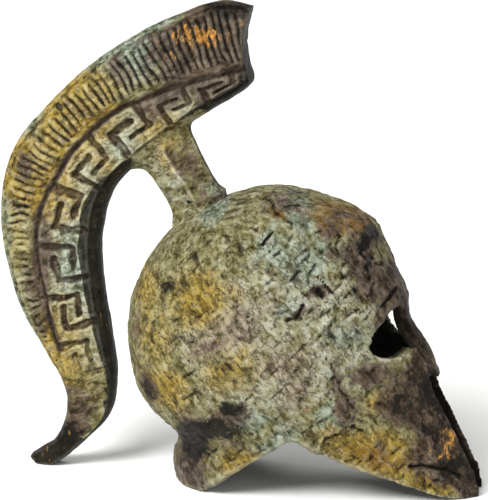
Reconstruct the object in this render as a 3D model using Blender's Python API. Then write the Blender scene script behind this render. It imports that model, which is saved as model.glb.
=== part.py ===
"""A cast bronze ornament in the form of a crested Corinthian helmet.

It is two castings. The helmet bowl is one thick shell: skull, neck guard, cheek pieces and nose guard.
The crest is a plume with a ribbed band and a Greek key band, on a stem that is pegged into the crown.
+X is the way the face looks, +Z is up, and the ornament stands on Z = 0. Sizes are in metres.
"""

import math

import bmesh
import bpy
import numpy as np

# Driving sizes of the bowl
BOWL_LENGTH = 0.1103  # back of the skull to the tips of the cheek pieces
BOWL_HEIGHT = 0.0916  # table to the top of the crown
BOWL_WIDTH = 0.0560  # across the temples
BOWL_WALL = 0.0026  # thickness of the cast shell
NOSE_WALL = 0.0042  # thickness of the nose guard
FACE_HEIGHT = 0.0625  # table to the inner corners of the eyes
FACE_WIDTH = 0.0332  # outer corner of one eye to the outer corner of the other

# Driving sizes of the crest
CREST_LENGTH = 0.0783  # front end of the plume to the back of its curve
CREST_RISE = 0.0560  # top of the plume above the crown
CREST_THICKNESS = 0.0090  # the plume from side to side, without its relief
END_HOLLOW = 0.0026  # how far the front end of the plume is scooped out
RIB_COUNT = 54
RIB_HEIGHT = 0.0007
GROOVE_DEPTH = 0.0009  # of the line between the ribs and the key band
KEY_RELIEF = 0.0008
STEM_THICKNESS = 0.0084
PEG_RADIUS = 0.0020
PEG_STICKS_IN = 0.0015  # how far the peg reaches past the inside of the crown

# Clearances
SEAT_GAP = 0.0003  # between the foot of the stem and the crown
PEG_GAP = 0.0003  # round the peg in its hole

# Mesh fineness
BOWL_COLUMNS = 48
BOWL_ROWS = 17
TAIL_STATIONS = 14
STEM_LINES = 5
PEG_SIDES = 12

NOSE_FADE = 0.09  # share of a turn to each side of the face over which the wall thins

# Sections of the bowl, from the table up. Heights are shares of BOWL_HEIGHT, back and front are shares of
# BOWL_LENGTH from the back of the skull, half widths are shares of half BOWL_WIDTH, and widest is where
# between back and front the section is widest. Powers are those of the superellipse of each half.
#   height  back    front   width  widest  front_power  back_power
BOWL_SECTIONS = (
    (0.000, 0.133, 1.004, 0.83, 0.34, 1.62, 2.00),
    (0.075, 0.129, 0.990, 0.82, 0.35, 1.62, 2.00),
    (0.140, 0.148, 0.966, 0.82, 0.35, 1.62, 2.00),
    (0.185, 0.126, 0.946, 0.85, 0.36, 1.64, 2.05),
    (0.237, 0.074, 0.921, 0.89, 0.37, 1.66, 2.05),
    (0.323, 0.028, 0.882, 0.94, 0.39, 1.70, 2.05),
    (0.420, 0.008, 0.854, 0.98, 0.41, 1.74, 2.05),
    (0.506, 0.000, 0.821, 1.00, 0.43, 1.80, 2.05),
    (0.582, 0.004, 0.780, 1.00, 0.45, 1.88, 2.05),
    (0.657, 0.022, 0.771, 0.98, 0.47, 1.95, 2.05),
    (0.744, 0.058, 0.738, 0.93, 0.49, 2.00, 2.05),
    (0.824, 0.106, 0.705, 0.84, 0.50, 2.05, 2.05),
    (0.894, 0.175, 0.680, 0.70, 0.50, 2.05, 2.05),
    (0.948, 0.251, 0.598, 0.51, 0.50, 2.00, 2.00),
    (0.985, 0.339, 0.501, 0.27, 0.50, 2.00, 2.00),
    (1.000, 0.425, 0.425, 0.00, 0.50, 2.00, 2.00),
)

# Lower rim of the bowl, seen from the side. Reach is a share of BOWL_LENGTH from the back, height of BOWL_HEIGHT.
#   reach  height
RIM = (
    (0.000, 0.000),
    (0.190, 0.000),
    (0.225, 0.004),
    (0.255, 0.026),
    (0.303, 0.069),
    (0.357, 0.116),
    (0.415, 0.168),
    (0.471, 0.215),
    (0.498, 0.227),
    (0.525, 0.216),
    (0.550, 0.190),
    (0.590, 0.166),
    (0.650, 0.130),
    (0.730, 0.090),
    (0.805, 0.054),
    (0.881, 0.017),
    (0.925, 0.000),
    (1.100, 0.000),
)

# Outline of the opening in the face, seen from the front: the slit between the cheek pieces, the eye and
# the side of the nose guard. Aside is a share of half FACE_WIDTH, height a share of FACE_HEIGHT.
#   aside   height
FACE_OPENING = (
    (0.215, -0.100),
    (0.225, 0.200),
    (0.250, 0.400),
    (0.280, 0.560),
    (0.300, 0.690),
    (0.350, 0.738),
    (0.500, 0.728),
    (0.680, 0.716),
    (0.850, 0.712),
    (0.950, 0.724),
    (1.000, 0.755),
    (0.985, 0.790),
    (0.925, 0.827),
    (0.835, 0.865),
    (0.690, 0.908),
    (0.520, 0.936),
    (0.350, 0.940),
    (0.240, 0.925),
    (0.205, 0.880),
    (0.195, 0.800),
    (0.215, 0.700),
    (0.232, 0.640),
    (0.205, 0.598),
    (0.100, 0.578),
)

# Stations along the plume, from its front end to the tip of the tail. Reach is a share of CREST_LENGTH
# forward from the back of the skull, height a share of the whole height, groove and thickness are shares
# of the station's width and of CREST_THICKNESS.
#   outer_reach outer_height inner_reach inner_height groove thickness
PLUME_STATIONS = (
    (0.488, 0.9885, 0.488, 0.8360, 0.231, 1.00),
    (0.360, 0.9960, 0.448, 0.8150, 0.258, 1.00),
    (0.180, 0.9620, 0.330, 0.7750, 0.335, 1.00),
    (0.005, 0.9130, 0.220, 0.7358, 0.415, 1.00),
    (-0.179, 0.8425, 0.078, 0.6757, 0.508, 1.00),
    (-0.340, 0.7570, -0.033, 0.6193, 0.518, 1.00),
    (-0.455, 0.6780, -0.073, 0.5832, 0.513, 1.00),
    (-0.505, 0.5880, -0.095, 0.5474, 0.576, 1.00),
    (-0.506, 0.4730, -0.112, 0.4821, 0.628, 1.00),
    (-0.445, 0.3450, -0.103, 0.3904, 0.649, 1.00),
    (-0.336, 0.2400, -0.073, 0.2845, 0.775, 1.00),
    (-0.273, 0.1780, -0.058, 0.2005, 0.860, 0.97),
    (-0.259, 0.1220, -0.085, 0.1180, 0.800, 0.92),
    (-0.303, 0.0600, -0.195, 0.0520, 0.740, 0.86),
    (-0.362, 0.0350, -0.303, 0.0040, 0.700, 0.80),
    (-0.413, 0.0160, -0.381, 0.0000, 0.660, 0.66),
)

# Half section of the plume, from its inner edge to its outer edge. Across is a share of the width, or of
# the way from the groove to the edge; half thickness is a share of half CREST_THICKNESS.
#   across  half_thickness
PLUME_INNER_EDGE = (
    (0.000, 0.28),
    (0.045, 0.80),
    (0.100, 1.00),
)
PLUME_OUTER_EDGE = (
    (0.930, 0.70),
    (0.975, 0.50),
    (1.000, 0.22),
)
GROOVE_HALF_WIDTH = 0.025  # share of the station's width
GROOVE_LIPS = (0.98, 0.94)  # half thickness at the inner and the outer lip
RIBS_END = 0.72  # share of the plume's length where the ribs and the groove end

# One unit of the Greek key on its lattice: along the plume, and across from the groove to the inner edge.
# The raised line runs on from unit to unit.
KEY_PATH = ((0.75, 2.1), (0.75, 0.45), (4.05, 0.45), (4.05, 3.6), (7.4, 3.6), (7.4, 2.1))
KEY_CELLS_ALONG = 5.0  # one unit's length on the lattice
KEY_CELLS_ACROSS = 4.6
KEY_BAR = 0.40  # half the width of a bar
KEY_BORDER = 4.15  # where the border line runs
KEY_MARKS = (0.044, 0.1425, 0.229, 0.335, 0.442, 0.5525, 0.6415, 0.7275)  # where units begin, along the plume
KEY_FIELD = (0.085, 0.035)  # margins beside the inner edge and the groove, in shares of the width

# Rows up the stem, as PLUME_STATIONS are: its back edge and its front edge, and where its ridge runs between them
#   back_reach back_height front_reach front_height ridge
STEM_ROWS = (
    (0.185, 0.5420, 0.368, 0.6030, 0.62),
    (0.149, 0.5830, 0.319, 0.6420, 0.58),
    (0.104, 0.6200, 0.277, 0.6870, 0.50),
    (0.061, 0.6420, 0.245, 0.7290, 0.42),
    (0.007, 0.6440, 0.261, 0.7600, 0.38),
    (-0.033, 0.6500, 0.317, 0.7860, 0.36),
)

# Half section of the stem. Along goes from its back edge, 0, over its ridge, 1, to its front edge, 2
#   along  half_thickness
STEM_SECTION = (
    (0.00, 0.30),
    (0.35, 0.72),
    (1.00, 1.00),
    (1.60, 0.58),
    (2.00, 0.30),
)

BRONZE = {"color": (0.42, 0.43, 0.27, 1.0), "roughness": 0.55, "metallic": 0.6}
DARK_BRONZE = {"color": (0.33, 0.30, 0.18, 1.0), "roughness": 0.5, "metallic": 0.7}


def clear_scene():
    for obj in list(bpy.data.objects):
        bpy.data.objects.remove(obj, do_unlink=True)


def finish_of(name, look):
    """A Principled material of one colour, roughness and metallic value."""
    material = bpy.data.materials.new(name)
    material.use_nodes = True
    shader = material.node_tree.nodes["Principled BSDF"]
    shader.inputs["Base Color"].default_value = look["color"]
    shader.inputs["Roughness"].default_value = look["roughness"]
    shader.inputs["Metallic"].default_value = look["metallic"]
    return material


def through_rows(rows, at, beyond=None):
    """The rows of a table joined by a Catmull-Rom curve, read at these row numbers, which may be fractions."""
    rows = np.asarray(rows, float)
    before = 2 * rows[0] - rows[1]
    after = 2 * rows[-1] - rows[-2] if beyond is None else np.asarray(beyond, float)
    padded = np.vstack([before, rows, after])
    at = np.clip(np.asarray(at, float), 0, len(rows) - 1)
    first = np.minimum(at.astype(int), len(rows) - 2)
    f = (at - first)[..., None]
    p0, p1, p2, p3 = (padded[first + k] for k in range(4))
    return 0.5 * (
        2 * p1
        + (p2 - p0) * f
        + (2 * p0 - 5 * p1 + 4 * p2 - p3) * f**2
        + (3 * p1 - p0 - 3 * p2 + p3) * f**3
    )


def bowl_section(level):
    """Height, back, front, half width, widest place and powers of the bowl's section at a row number, in metres."""
    last = BOWL_SECTIONS[-2]
    crown = BOWL_SECTIONS[-1]
    mirrored = (last[0], last[2], last[1], -last[3], *crown[4:])
    row = through_rows(BOWL_SECTIONS, level, mirrored)
    height = row[..., 0] * BOWL_HEIGHT
    back = row[..., 1] * BOWL_LENGTH
    front = np.maximum(row[..., 2] * BOWL_LENGTH, back)
    half_width = np.maximum(row[..., 3], 0) * BOWL_WIDTH / 2
    middle = back + row[..., 4] * (front - back)
    return height, back, front, half_width, middle, row[..., 5], row[..., 6]


def wall_at(turn):
    """Thickness of the shell at a turn: BOWL_WALL, growing to NOSE_WALL over the middle of the face."""
    from_face = np.abs(np.mod(turn, 1.0) - 0.5)
    return BOWL_WALL + (NOSE_WALL - BOWL_WALL) * np.clip((NOSE_FADE - from_face) / NOSE_FADE * 2, 0, 1)


def level_of(height):
    """The row number at which the bowl's sections reach this height."""
    levels = np.linspace(0, len(BOWL_SECTIONS) - 1, 600)
    return np.interp(height, bowl_section(levels)[0], levels)


def bowl_point(turn, level):
    """A point of the bowl's outside: turn goes once round from 0 at the back, level is a row number.

    Each section is half of one superellipse behind its widest place and half of another in front of it.
    """
    height, back, front, half_width, middle, front_power, back_power = bowl_section(level)
    angle = 2 * math.pi * turn
    cosine, sine = np.cos(angle), np.sin(angle)
    power = 2 / np.where(cosine < 0, front_power, back_power)
    reach = np.where(cosine < 0, front - middle, middle - back)
    x = middle - np.sign(cosine) * reach * np.abs(cosine) ** power
    y = half_width * np.sign(sine) * np.abs(sine) ** power
    return np.stack([x, y, height + 0 * x], -1)


def bowl_normal(turn, level):
    """The bowl's outward direction, from small steps round and up its surface."""
    step = 0.002
    top = len(BOWL_SECTIONS) - 1
    low, high = np.maximum(level - step * top, 0), np.minimum(level + step * top, top - 0.01)
    round_it = bowl_point(turn + step, level) - bowl_point(turn - step, level)
    up_it = bowl_point(turn, high) - bowl_point(turn, low)
    normal = np.cross(up_it, round_it)
    return normal / np.maximum(np.linalg.norm(normal, axis=-1, keepdims=True), 1e-12)


def rim_level(turn):
    """The section row number of the lower rim at a turn, found by stepping towards the rim's height."""
    reach, height = np.array(RIM).T
    level = np.full(np.shape(turn), 1.0)
    for _ in range(30):
        x = bowl_point(turn, level)[..., 0]
        aim = level_of(np.interp(x / BOWL_LENGTH, reach, height) * BOWL_HEIGHT)
        level = (level + aim) / 2
    return level


def crown_height(x, y):
    """Height of the bowl's outside over a place on the crown, by halving the range of section rows."""
    low = np.full(np.shape(x), len(BOWL_SECTIONS) / 2.0)
    high = np.full(np.shape(x), len(BOWL_SECTIONS) - 1.0)
    for _ in range(40):
        level = (low + high) / 2
        _, back, front, half_width, middle, front_power, back_power = bowl_section(level)
        ahead = x > middle
        power = np.where(ahead, front_power, back_power)
        reach = np.maximum(np.where(ahead, front - middle, middle - back), 1e-9)
        inside = np.abs((x - middle) / reach) ** power + np.abs(y / np.maximum(half_width, 1e-9)) ** power < 1
        low, high = np.where(inside, level, low), np.where(inside, high, level)
    return bowl_section((low + high) / 2)[0]


def new_object(name, points, faces, material=None):
    """A mesh object with its faces pointing outwards."""
    mesh = bpy.data.meshes.new(name)
    mesh.from_pydata([tuple(map(float, p)) for p in points], [], faces)
    shape = bmesh.new()
    shape.from_mesh(mesh)
    bmesh.ops.recalc_face_normals(shape, faces=shape.faces)
    shape.to_mesh(mesh)
    shape.free()
    obj = bpy.data.objects.new(name, mesh)
    bpy.context.scene.collection.objects.link(obj)
    if material:
        mesh.materials.append(material)
    return obj


def combine(target, helper, operation):
    """Joins a helper to the target or cuts it away, and leaves the helper out of the model."""
    helper.hide_render = True
    helper.display_type = "WIRE"
    modifier = target.modifiers.new(helper.name, "BOOLEAN")
    modifier.operation = operation
    modifier.solver = "EXACT"
    modifier.object = helper


def prism_faces(count, first=0):
    """Faces of a prism whose two outlines of this many points follow each other from vertex number first."""
    near = [first + i for i in range(count)]
    far = [first + count + i for i in range(count)]
    sides = [(near[i - 1], near[i], far[i], far[i - 1]) for i in range(count)]
    return [tuple(near), tuple(reversed(far)), *sides]


def ring_faces(rings, count, ends="flat"):
    """Quads between rings of count points each. Flat ends get one face, curved ends a strip from side to side."""
    faces = [
        (r * count + i, r * count + (i + 1) % count, (r + 1) * count + (i + 1) % count, (r + 1) * count + i)
        for r in range(rings - 1)
        for i in range(count)
    ]
    for first in (0, (rings - 1) * count):
        if ends == "flat":
            faces.append(tuple(range(first, first + count)))
        if ends == "curved":
            far = first + count - 1
            faces += [(first + i, first + i + 1, far - i - 1, far - i) for i in range(count // 2 - 1)]
    return faces


def make_bowl_shell(material):
    """The shell: its outside, the same surface moved in by the wall, and the flat rim between them."""
    turns = np.arange(BOWL_COLUMNS) / BOWL_COLUMNS
    rows = np.sin(np.linspace(0, 1, BOWL_ROWS, endpoint=False) ** 0.85 * math.pi / 2)
    foot = rim_level(turns)
    level = foot + rows[:, None] * (len(BOWL_SECTIONS) - 1 - foot)
    turn = np.broadcast_to(turns, level.shape)
    outside = bowl_point(turn, level)
    inside = outside - wall_at(turn)[..., None] * bowl_normal(turn, level)
    inside[0, :, 2] = outside[0, :, 2]
    crown = bowl_point(np.array([0.0]), np.array([len(BOWL_SECTIONS) - 1.0]))
    under_crown = crown - [[0, 0, BOWL_WALL]]
    points = np.vstack([outside.reshape(-1, 3), crown, inside.reshape(-1, 3), under_crown])
    count = BOWL_COLUMNS
    wall = ring_faces(BOWL_ROWS, count, ends="open")
    last = (BOWL_ROWS - 1) * count
    wall += [(last + i, last + (i + 1) % count, BOWL_ROWS * count) for i in range(count)]
    inner = BOWL_ROWS * count + 1
    faces = wall + [tuple(inner + v for v in face) for face in wall]
    faces += [(i, (i + 1) % count, inner + (i + 1) % count, inner + i) for i in range(count)]
    return new_object("helmet_bowl", points, faces, material)


def make_face_cutter():
    """A prism of the whole face opening, wide enough front to back to cut the face and nothing behind it."""
    half = np.array(FACE_OPENING) * [FACE_WIDTH / 2, FACE_HEIGHT]
    mirrored = half[::-1] * [-1, 1]
    outline = np.vstack([half, mirrored])
    behind, before = 0.52 * BOWL_LENGTH, 1.10 * BOWL_LENGTH
    near = [(behind, y, z) for y, z in outline]
    far = [(before, y, z) for y, z in outline]
    return new_object("face_cutter", near + far, prism_faces(len(outline)))


def stem_rows():
    """Back edge and front edge of the stem at each row, as places in the side view, and the ridge's share."""
    table = np.array(STEM_ROWS)
    scale = np.array([CREST_LENGTH, BOWL_HEIGHT + CREST_RISE])
    return table[:, :2] * scale, table[:, 2:4] * scale, table[:, 4]


def peg_axis():
    """Where the peg's axis meets the crown, and its direction up the stem."""
    back, front, _ = stem_rows()
    foot, above = (back[0] + front[0]) / 2, (back[1] + front[1]) / 2
    direction = (above - foot) / np.linalg.norm(above - foot)
    surface = crown_height(np.array(foot[0]), np.array(0.0))
    return np.array([foot[0], 0, float(surface)]), np.array([direction[0], 0, direction[1]])


def make_round_bar(name, start, end, radius):
    """A plain bar with PEG_SIDES sides from start to end, both in the plane Y = 0."""
    along = (end - start) / np.linalg.norm(end - start)
    side = np.array([0.0, 1.0, 0.0])
    other = np.cross(along, side)
    angles = 2 * math.pi * (np.arange(PEG_SIDES) + 0.5) / PEG_SIDES
    ring = np.outer(np.cos(angles), side) + np.outer(np.sin(angles), other)
    points = np.vstack([start + radius * ring, end + radius * ring])
    return new_object(name, points, prism_faces(PEG_SIDES))


def plume_row(along):
    """The station row number at a share of the plume's length, measured down the middle of its width."""
    rows = np.linspace(0, len(PLUME_STATIONS) - 1, 500)
    table = through_rows(PLUME_STATIONS, rows)
    scale = np.array([CREST_LENGTH, BOWL_HEIGHT + CREST_RISE])
    middle = (table[:, :2] + table[:, 2:4]) / 2 * scale
    run = np.concatenate([[0], np.cumsum(np.linalg.norm(np.diff(middle, axis=0), axis=1))])
    return np.interp(along, run / run[-1], rows)


def plume_place(along, across):
    """A place in the side view: along is a share of the plume's length, across goes from inner to outer edge."""
    along, across = np.broadcast_arrays(np.asarray(along, float), np.asarray(across, float))
    table = through_rows(PLUME_STATIONS, plume_row(along))
    scale = np.array([CREST_LENGTH, BOWL_HEIGHT + CREST_RISE])
    outer, inner = table[..., :2] * scale, table[..., 2:4] * scale
    place = np.maximum(inner + (outer - inner) * across[..., None], [-np.inf, 0])
    scoop = END_HOLLOW * 4 * across * (1 - across) * np.clip(1 - along / 0.06, 0, 1) ** 2
    place[..., 0] -= scoop
    return place


def plume_half_section(along):
    """Across shares and half thicknesses of the plume's half section at a share of its length."""
    table = through_rows(PLUME_STATIONS, plume_row(along))
    groove, thickness = table[4], table[5] * CREST_THICKNESS / 2
    lips = (
        (groove - GROOVE_HALF_WIDTH, GROOVE_LIPS[0]),
        (groove, GROOVE_LIPS[0]),
        (groove + GROOVE_HALF_WIDTH, GROOVE_LIPS[1]),
    )
    section = np.array([*PLUME_INNER_EDGE, *lips, *PLUME_OUTER_EDGE])
    half = section[:, 1] * thickness
    half[len(PLUME_INNER_EDGE) + 1] -= GROOVE_DEPTH
    return section[:, 0], half


def make_plume(material):
    """The plume: one section at each rib's top and foot, then at wider steps down to the tip of the tail."""
    ribbed = np.linspace(0, RIBS_END, 2 * RIB_COUNT + 1)
    tail = np.linspace(RIBS_END, 1, TAIL_STATIONS + 1)[1:]
    first_rib = len(PLUME_INNER_EDGE) + 2
    rings = []
    for number, along in enumerate(np.concatenate([ribbed, tail])):
        across, half = plume_half_section(along)
        if along < RIBS_END and number % 2:
            half[first_rib : first_rib + 2] += RIB_HEIGHT * np.array([0.6, 1.0])
        if along > RIBS_END:
            half[len(PLUME_INNER_EDGE) + 1] += GROOVE_DEPTH
        place = plume_place(np.full(len(across), along), across)
        near = np.column_stack([place[:, 0], -half, place[:, 1]])
        far = np.column_stack([place[:, 0], half, place[:, 1]])
        rings.append(np.vstack([near, far[::-1]]))
    count = len(rings[0])
    return new_object("crest", np.vstack(rings), ring_faces(len(rings), count, ends="curved"), material)


def thick_path(path, half_width):
    """The outline of a path with square corners, made half_width thick to each side."""
    path = np.array(path, float)
    along = np.diff(path, axis=0)
    along /= np.linalg.norm(along, axis=1, keepdims=True)
    aside = np.column_stack([-along[:, 1], along[:, 0]])
    first, last = aside[:1], aside[-1:]
    corner = np.vstack([first, aside[:-1] + aside[1:], last]) * half_width
    return np.vstack([path + corner, (path - corner)[::-1]])


def on_lattice(outline):
    """An outline on the key's lattice as places in the side view, with its long edges broken to follow the curve."""
    points = []
    for start, end in zip(outline, np.roll(outline, -1, axis=0)):
        pieces = max(1, round(float(np.abs(end - start).max()) / 1.3))
        points += [start + (end - start) * i / pieces for i in range(pieces)]
    lattice = np.array(points)
    along = np.interp(lattice[:, 0] / KEY_CELLS_ALONG, np.arange(len(KEY_MARKS)), KEY_MARKS)
    groove = through_rows(PLUME_STATIONS, plume_row(along))[:, 4]
    low, high = KEY_FIELD[0], groove - KEY_FIELD[1]
    across = high + (low - high) * lattice[:, 1] / KEY_CELLS_ACROSS
    return plume_place(along, across)


def make_raised_line(name, path, half_width, relief):
    """A line of the key band, as a bar that goes right through the plume and stands out on both sides."""
    half = CREST_THICKNESS / 2 + relief
    place = on_lattice(thick_path(path, half_width))
    points = [(x, -half, z) for x, z in place] + [(x, half, z) for x, z in place]
    return new_object(name, points, prism_faces(len(place)))


def make_key_band():
    """The Greek key that runs on from unit to unit, and the border line below it."""
    units = len(KEY_MARKS) - 1
    path = [(a + unit * KEY_CELLS_ALONG, b) for unit in range(units) for a, b in KEY_PATH]
    border = ((0.0, KEY_BORDER), (units * KEY_CELLS_ALONG, KEY_BORDER))
    key = make_raised_line("key_line", path[:-2], KEY_BAR, KEY_RELIEF)
    return key, make_raised_line("key_border", border, KEY_BAR / 2, 0.9 * KEY_RELIEF)


def edge_of(grid):
    """The values round the edge of a grid, once round from its first corner."""
    return np.concatenate([grid[:, 0], grid[-1, 1:-1], grid[::-1, -1], grid[0, -2:0:-1]])


def make_stem():
    """The stem: its section carried up from the crown, which its foot follows, into the plume."""
    back, front, ridge = stem_rows()
    section, sides = np.array(STEM_SECTION), np.linspace(-1, 1, STEM_LINES)
    y = section[:, 1:] * sides * STEM_THICKNESS / 2
    rings = []
    for row in range(len(back)):
        share = np.interp(section[:, :1], (0, 1, 2), (0, ridge[row], 1))
        place = back[row] + share * (front[row] - back[row])
        x, z = (np.broadcast_to(place[:, k : k + 1], y.shape) for k in (0, 1))
        if row == 0:
            z = crown_height(x, y) + SEAT_GAP
            sole = np.stack([x, y, z], -1)[1:-1, 1:-1].reshape(-1, 3)
        rings.append(edge_of(np.stack([x, y, z], -1)))
    count = len(rings[0])
    number = np.zeros(y.shape, int)
    number[1:-1, 1:-1] = len(rings) * count + np.arange(len(sole)).reshape(number[1:-1, 1:-1].shape)
    edge = edge_of(np.arange(y.size).reshape(y.shape))
    number.ravel()[edge] = np.arange(count)
    faces = ring_faces(len(rings), count)
    faces.remove(tuple(range(count)))
    corners = (number[:-1, :-1], number[1:, :-1], number[1:, 1:], number[:-1, 1:])
    faces += [tuple(map(int, quad)) for quad in zip(*(corner.ravel() for corner in corners))]
    return new_object("stem", np.vstack([*rings, sole]), faces)


def centre_over_origin(objects):
    """How far to move everything along X so that the whole ornament is centred on the origin."""
    bpy.context.view_layer.update()
    reach = [(obj.matrix_world @ vertex.co).x for obj in objects for vertex in obj.data.vertices]
    return -(min(reach) + max(reach)) / 2


def main():
    clear_scene()
    bronze = finish_of("patinated_bronze", BRONZE)
    dark_bronze = finish_of("crest_bronze", DARK_BRONZE)

    bowl = make_bowl_shell(bronze)
    face = make_face_cutter()
    combine(bowl, face, "DIFFERENCE")
    surface, up_the_stem = peg_axis()
    through_wall = BOWL_WALL + PEG_STICKS_IN
    hole = make_round_bar(
        "peg_hole",
        surface - 2 * through_wall * up_the_stem,
        surface + through_wall * up_the_stem,
        PEG_RADIUS + PEG_GAP,
    )
    combine(bowl, hole, "DIFFERENCE")

    crest = make_plume(dark_bronze)
    stem = make_stem()
    peg = make_round_bar(
        "peg", surface - through_wall * up_the_stem, surface + 2 * through_wall * up_the_stem, PEG_RADIUS
    )
    key, border = make_key_band()
    combine(crest, stem, "UNION")
    combine(crest, peg, "UNION")
    combine(crest, key, "UNION")
    combine(crest, border, "UNION")

    everything = [bowl, crest, face, hole, stem, peg, key, border]
    root = bpy.data.objects.new("helmet", None)
    bpy.context.scene.collection.objects.link(root)
    root.location.x = centre_over_origin([bowl, crest])
    for obj in everything:
        obj.parent = root


main()
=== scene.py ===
"""The looks of a small cast bronze helmet in the Corinthian style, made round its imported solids."""

import math

import bpy
import numpy as np
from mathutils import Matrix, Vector


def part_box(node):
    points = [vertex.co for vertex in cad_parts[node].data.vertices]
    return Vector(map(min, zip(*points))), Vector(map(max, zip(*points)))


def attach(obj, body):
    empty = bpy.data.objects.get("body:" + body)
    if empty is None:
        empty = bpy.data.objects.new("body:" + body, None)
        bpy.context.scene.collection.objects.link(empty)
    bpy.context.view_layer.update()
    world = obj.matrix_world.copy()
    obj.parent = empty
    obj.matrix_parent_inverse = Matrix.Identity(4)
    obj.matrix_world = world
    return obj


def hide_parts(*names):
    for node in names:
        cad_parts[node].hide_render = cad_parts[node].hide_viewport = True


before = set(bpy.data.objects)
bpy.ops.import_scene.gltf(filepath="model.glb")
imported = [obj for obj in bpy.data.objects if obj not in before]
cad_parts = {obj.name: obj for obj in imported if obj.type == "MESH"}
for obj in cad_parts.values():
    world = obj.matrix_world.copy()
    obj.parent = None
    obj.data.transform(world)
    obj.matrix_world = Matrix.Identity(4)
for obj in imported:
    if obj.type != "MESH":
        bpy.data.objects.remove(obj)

bl_info = {
    "name": "Corinthian helmet",
    "version": (1, 0, 0),
    "blender": (4, 5, 0),
    "location": "3D View > Sidebar > Helmet",
    "description": "Builds the bowl and the crest of a patinated bronze helmet, and the studio round it",
    "category": "Add Mesh",
}

MM = 0.001

# Sections of the bowl, from the table up, as shares of its height, length and half width, then where between
# back and front the section is widest, and the powers of the superellipse of its front and its back half
#   height  back    front   width  widest  front_power  back_power
BOWL_SECTIONS = (
    (0.000, 0.133, 1.004, 0.83, 0.34, 1.62, 2.00),
    (0.075, 0.129, 0.990, 0.82, 0.35, 1.62, 2.00),
    (0.140, 0.148, 0.966, 0.82, 0.35, 1.62, 2.00),
    (0.185, 0.126, 0.946, 0.85, 0.36, 1.64, 2.05),
    (0.237, 0.074, 0.921, 0.89, 0.37, 1.66, 2.05),
    (0.323, 0.028, 0.882, 0.94, 0.39, 1.70, 2.05),
    (0.420, 0.008, 0.854, 0.98, 0.41, 1.74, 2.05),
    (0.506, 0.000, 0.821, 1.00, 0.43, 1.80, 2.05),
    (0.582, 0.004, 0.780, 1.00, 0.45, 1.88, 2.05),
    (0.657, 0.022, 0.771, 0.98, 0.47, 1.95, 2.05),
    (0.744, 0.058, 0.738, 0.93, 0.49, 2.00, 2.05),
    (0.824, 0.106, 0.705, 0.84, 0.50, 2.05, 2.05),
    (0.894, 0.175, 0.680, 0.70, 0.50, 2.05, 2.05),
    (0.948, 0.251, 0.598, 0.51, 0.50, 2.00, 2.00),
    (0.985, 0.339, 0.501, 0.27, 0.50, 2.00, 2.00),
    (1.000, 0.425, 0.425, 0.00, 0.50, 2.00, 2.00),
)

# Lower rim of the bowl seen from the side, as shares of its length from the back and of its height
#   reach  height
RIM = (
    (0.000, 0.000),
    (0.190, 0.000),
    (0.225, 0.004),
    (0.255, 0.026),
    (0.303, 0.069),
    (0.357, 0.116),
    (0.415, 0.168),
    (0.471, 0.215),
    (0.498, 0.227),
    (0.525, 0.216),
    (0.550, 0.190),
    (0.590, 0.166),
    (0.650, 0.130),
    (0.730, 0.090),
    (0.805, 0.054),
    (0.881, 0.017),
    (0.925, 0.000),
    (1.100, 0.000),
)

# Outline of half the opening in the face, from the foot of the slit round the eye to the tip of the nose
# guard, as shares of half the face's width and of its height
#   aside   height
FACE_OPENING = (
    (0.215, -0.100),
    (0.225, 0.200),
    (0.250, 0.400),
    (0.280, 0.560),
    (0.300, 0.690),
    (0.350, 0.738),
    (0.500, 0.728),
    (0.680, 0.716),
    (0.850, 0.712),
    (0.950, 0.724),
    (1.000, 0.755),
    (0.985, 0.790),
    (0.925, 0.827),
    (0.835, 0.865),
    (0.690, 0.908),
    (0.520, 0.936),
    (0.350, 0.940),
    (0.240, 0.925),
    (0.205, 0.880),
    (0.195, 0.800),
    (0.215, 0.700),
    (0.232, 0.640),
    (0.205, 0.598),
    (0.100, 0.578),
)

# Stations along the plume from its front end to the tip of the tail: its outer and its inner edge, as shares
# of the crest's length forward from the back of the skull and of the whole height, then the groove's place
# from the inner edge to the outer, and the thickness
#   outer_reach outer_height inner_reach inner_height groove thickness
PLUME_STATIONS = (
    (0.488, 0.9885, 0.488, 0.8360, 0.231, 1.00),
    (0.360, 0.9960, 0.448, 0.8150, 0.258, 1.00),
    (0.180, 0.9620, 0.330, 0.7750, 0.335, 1.00),
    (0.005, 0.9130, 0.220, 0.7358, 0.415, 1.00),
    (-0.179, 0.8425, 0.078, 0.6757, 0.508, 1.00),
    (-0.340, 0.7570, -0.033, 0.6193, 0.518, 1.00),
    (-0.455, 0.6780, -0.073, 0.5832, 0.513, 1.00),
    (-0.505, 0.5880, -0.095, 0.5474, 0.576, 1.00),
    (-0.506, 0.4730, -0.112, 0.4821, 0.628, 1.00),
    (-0.445, 0.3450, -0.103, 0.3904, 0.649, 1.00),
    (-0.336, 0.2400, -0.073, 0.2845, 0.775, 1.00),
    (-0.273, 0.1780, -0.058, 0.2005, 0.860, 0.97),
    (-0.259, 0.1220, -0.085, 0.1180, 0.800, 0.92),
    (-0.303, 0.0600, -0.195, 0.0520, 0.740, 0.86),
    (-0.362, 0.0350, -0.303, 0.0040, 0.700, 0.80),
    (-0.413, 0.0160, -0.381, 0.0000, 0.660, 0.66),
)

# Half section of the plume from its inner edge to its outer edge: across, and share of the half thickness
PLUME_SECTION = (
    (0.000, 0.28),
    (0.020, 0.62),
    (0.050, 0.86),
    (0.100, 1.00),
    (0.600, 0.98),
    (0.900, 0.84),
    (0.940, 0.68),
    (0.975, 0.50),
    (1.000, 0.22),
)

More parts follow.
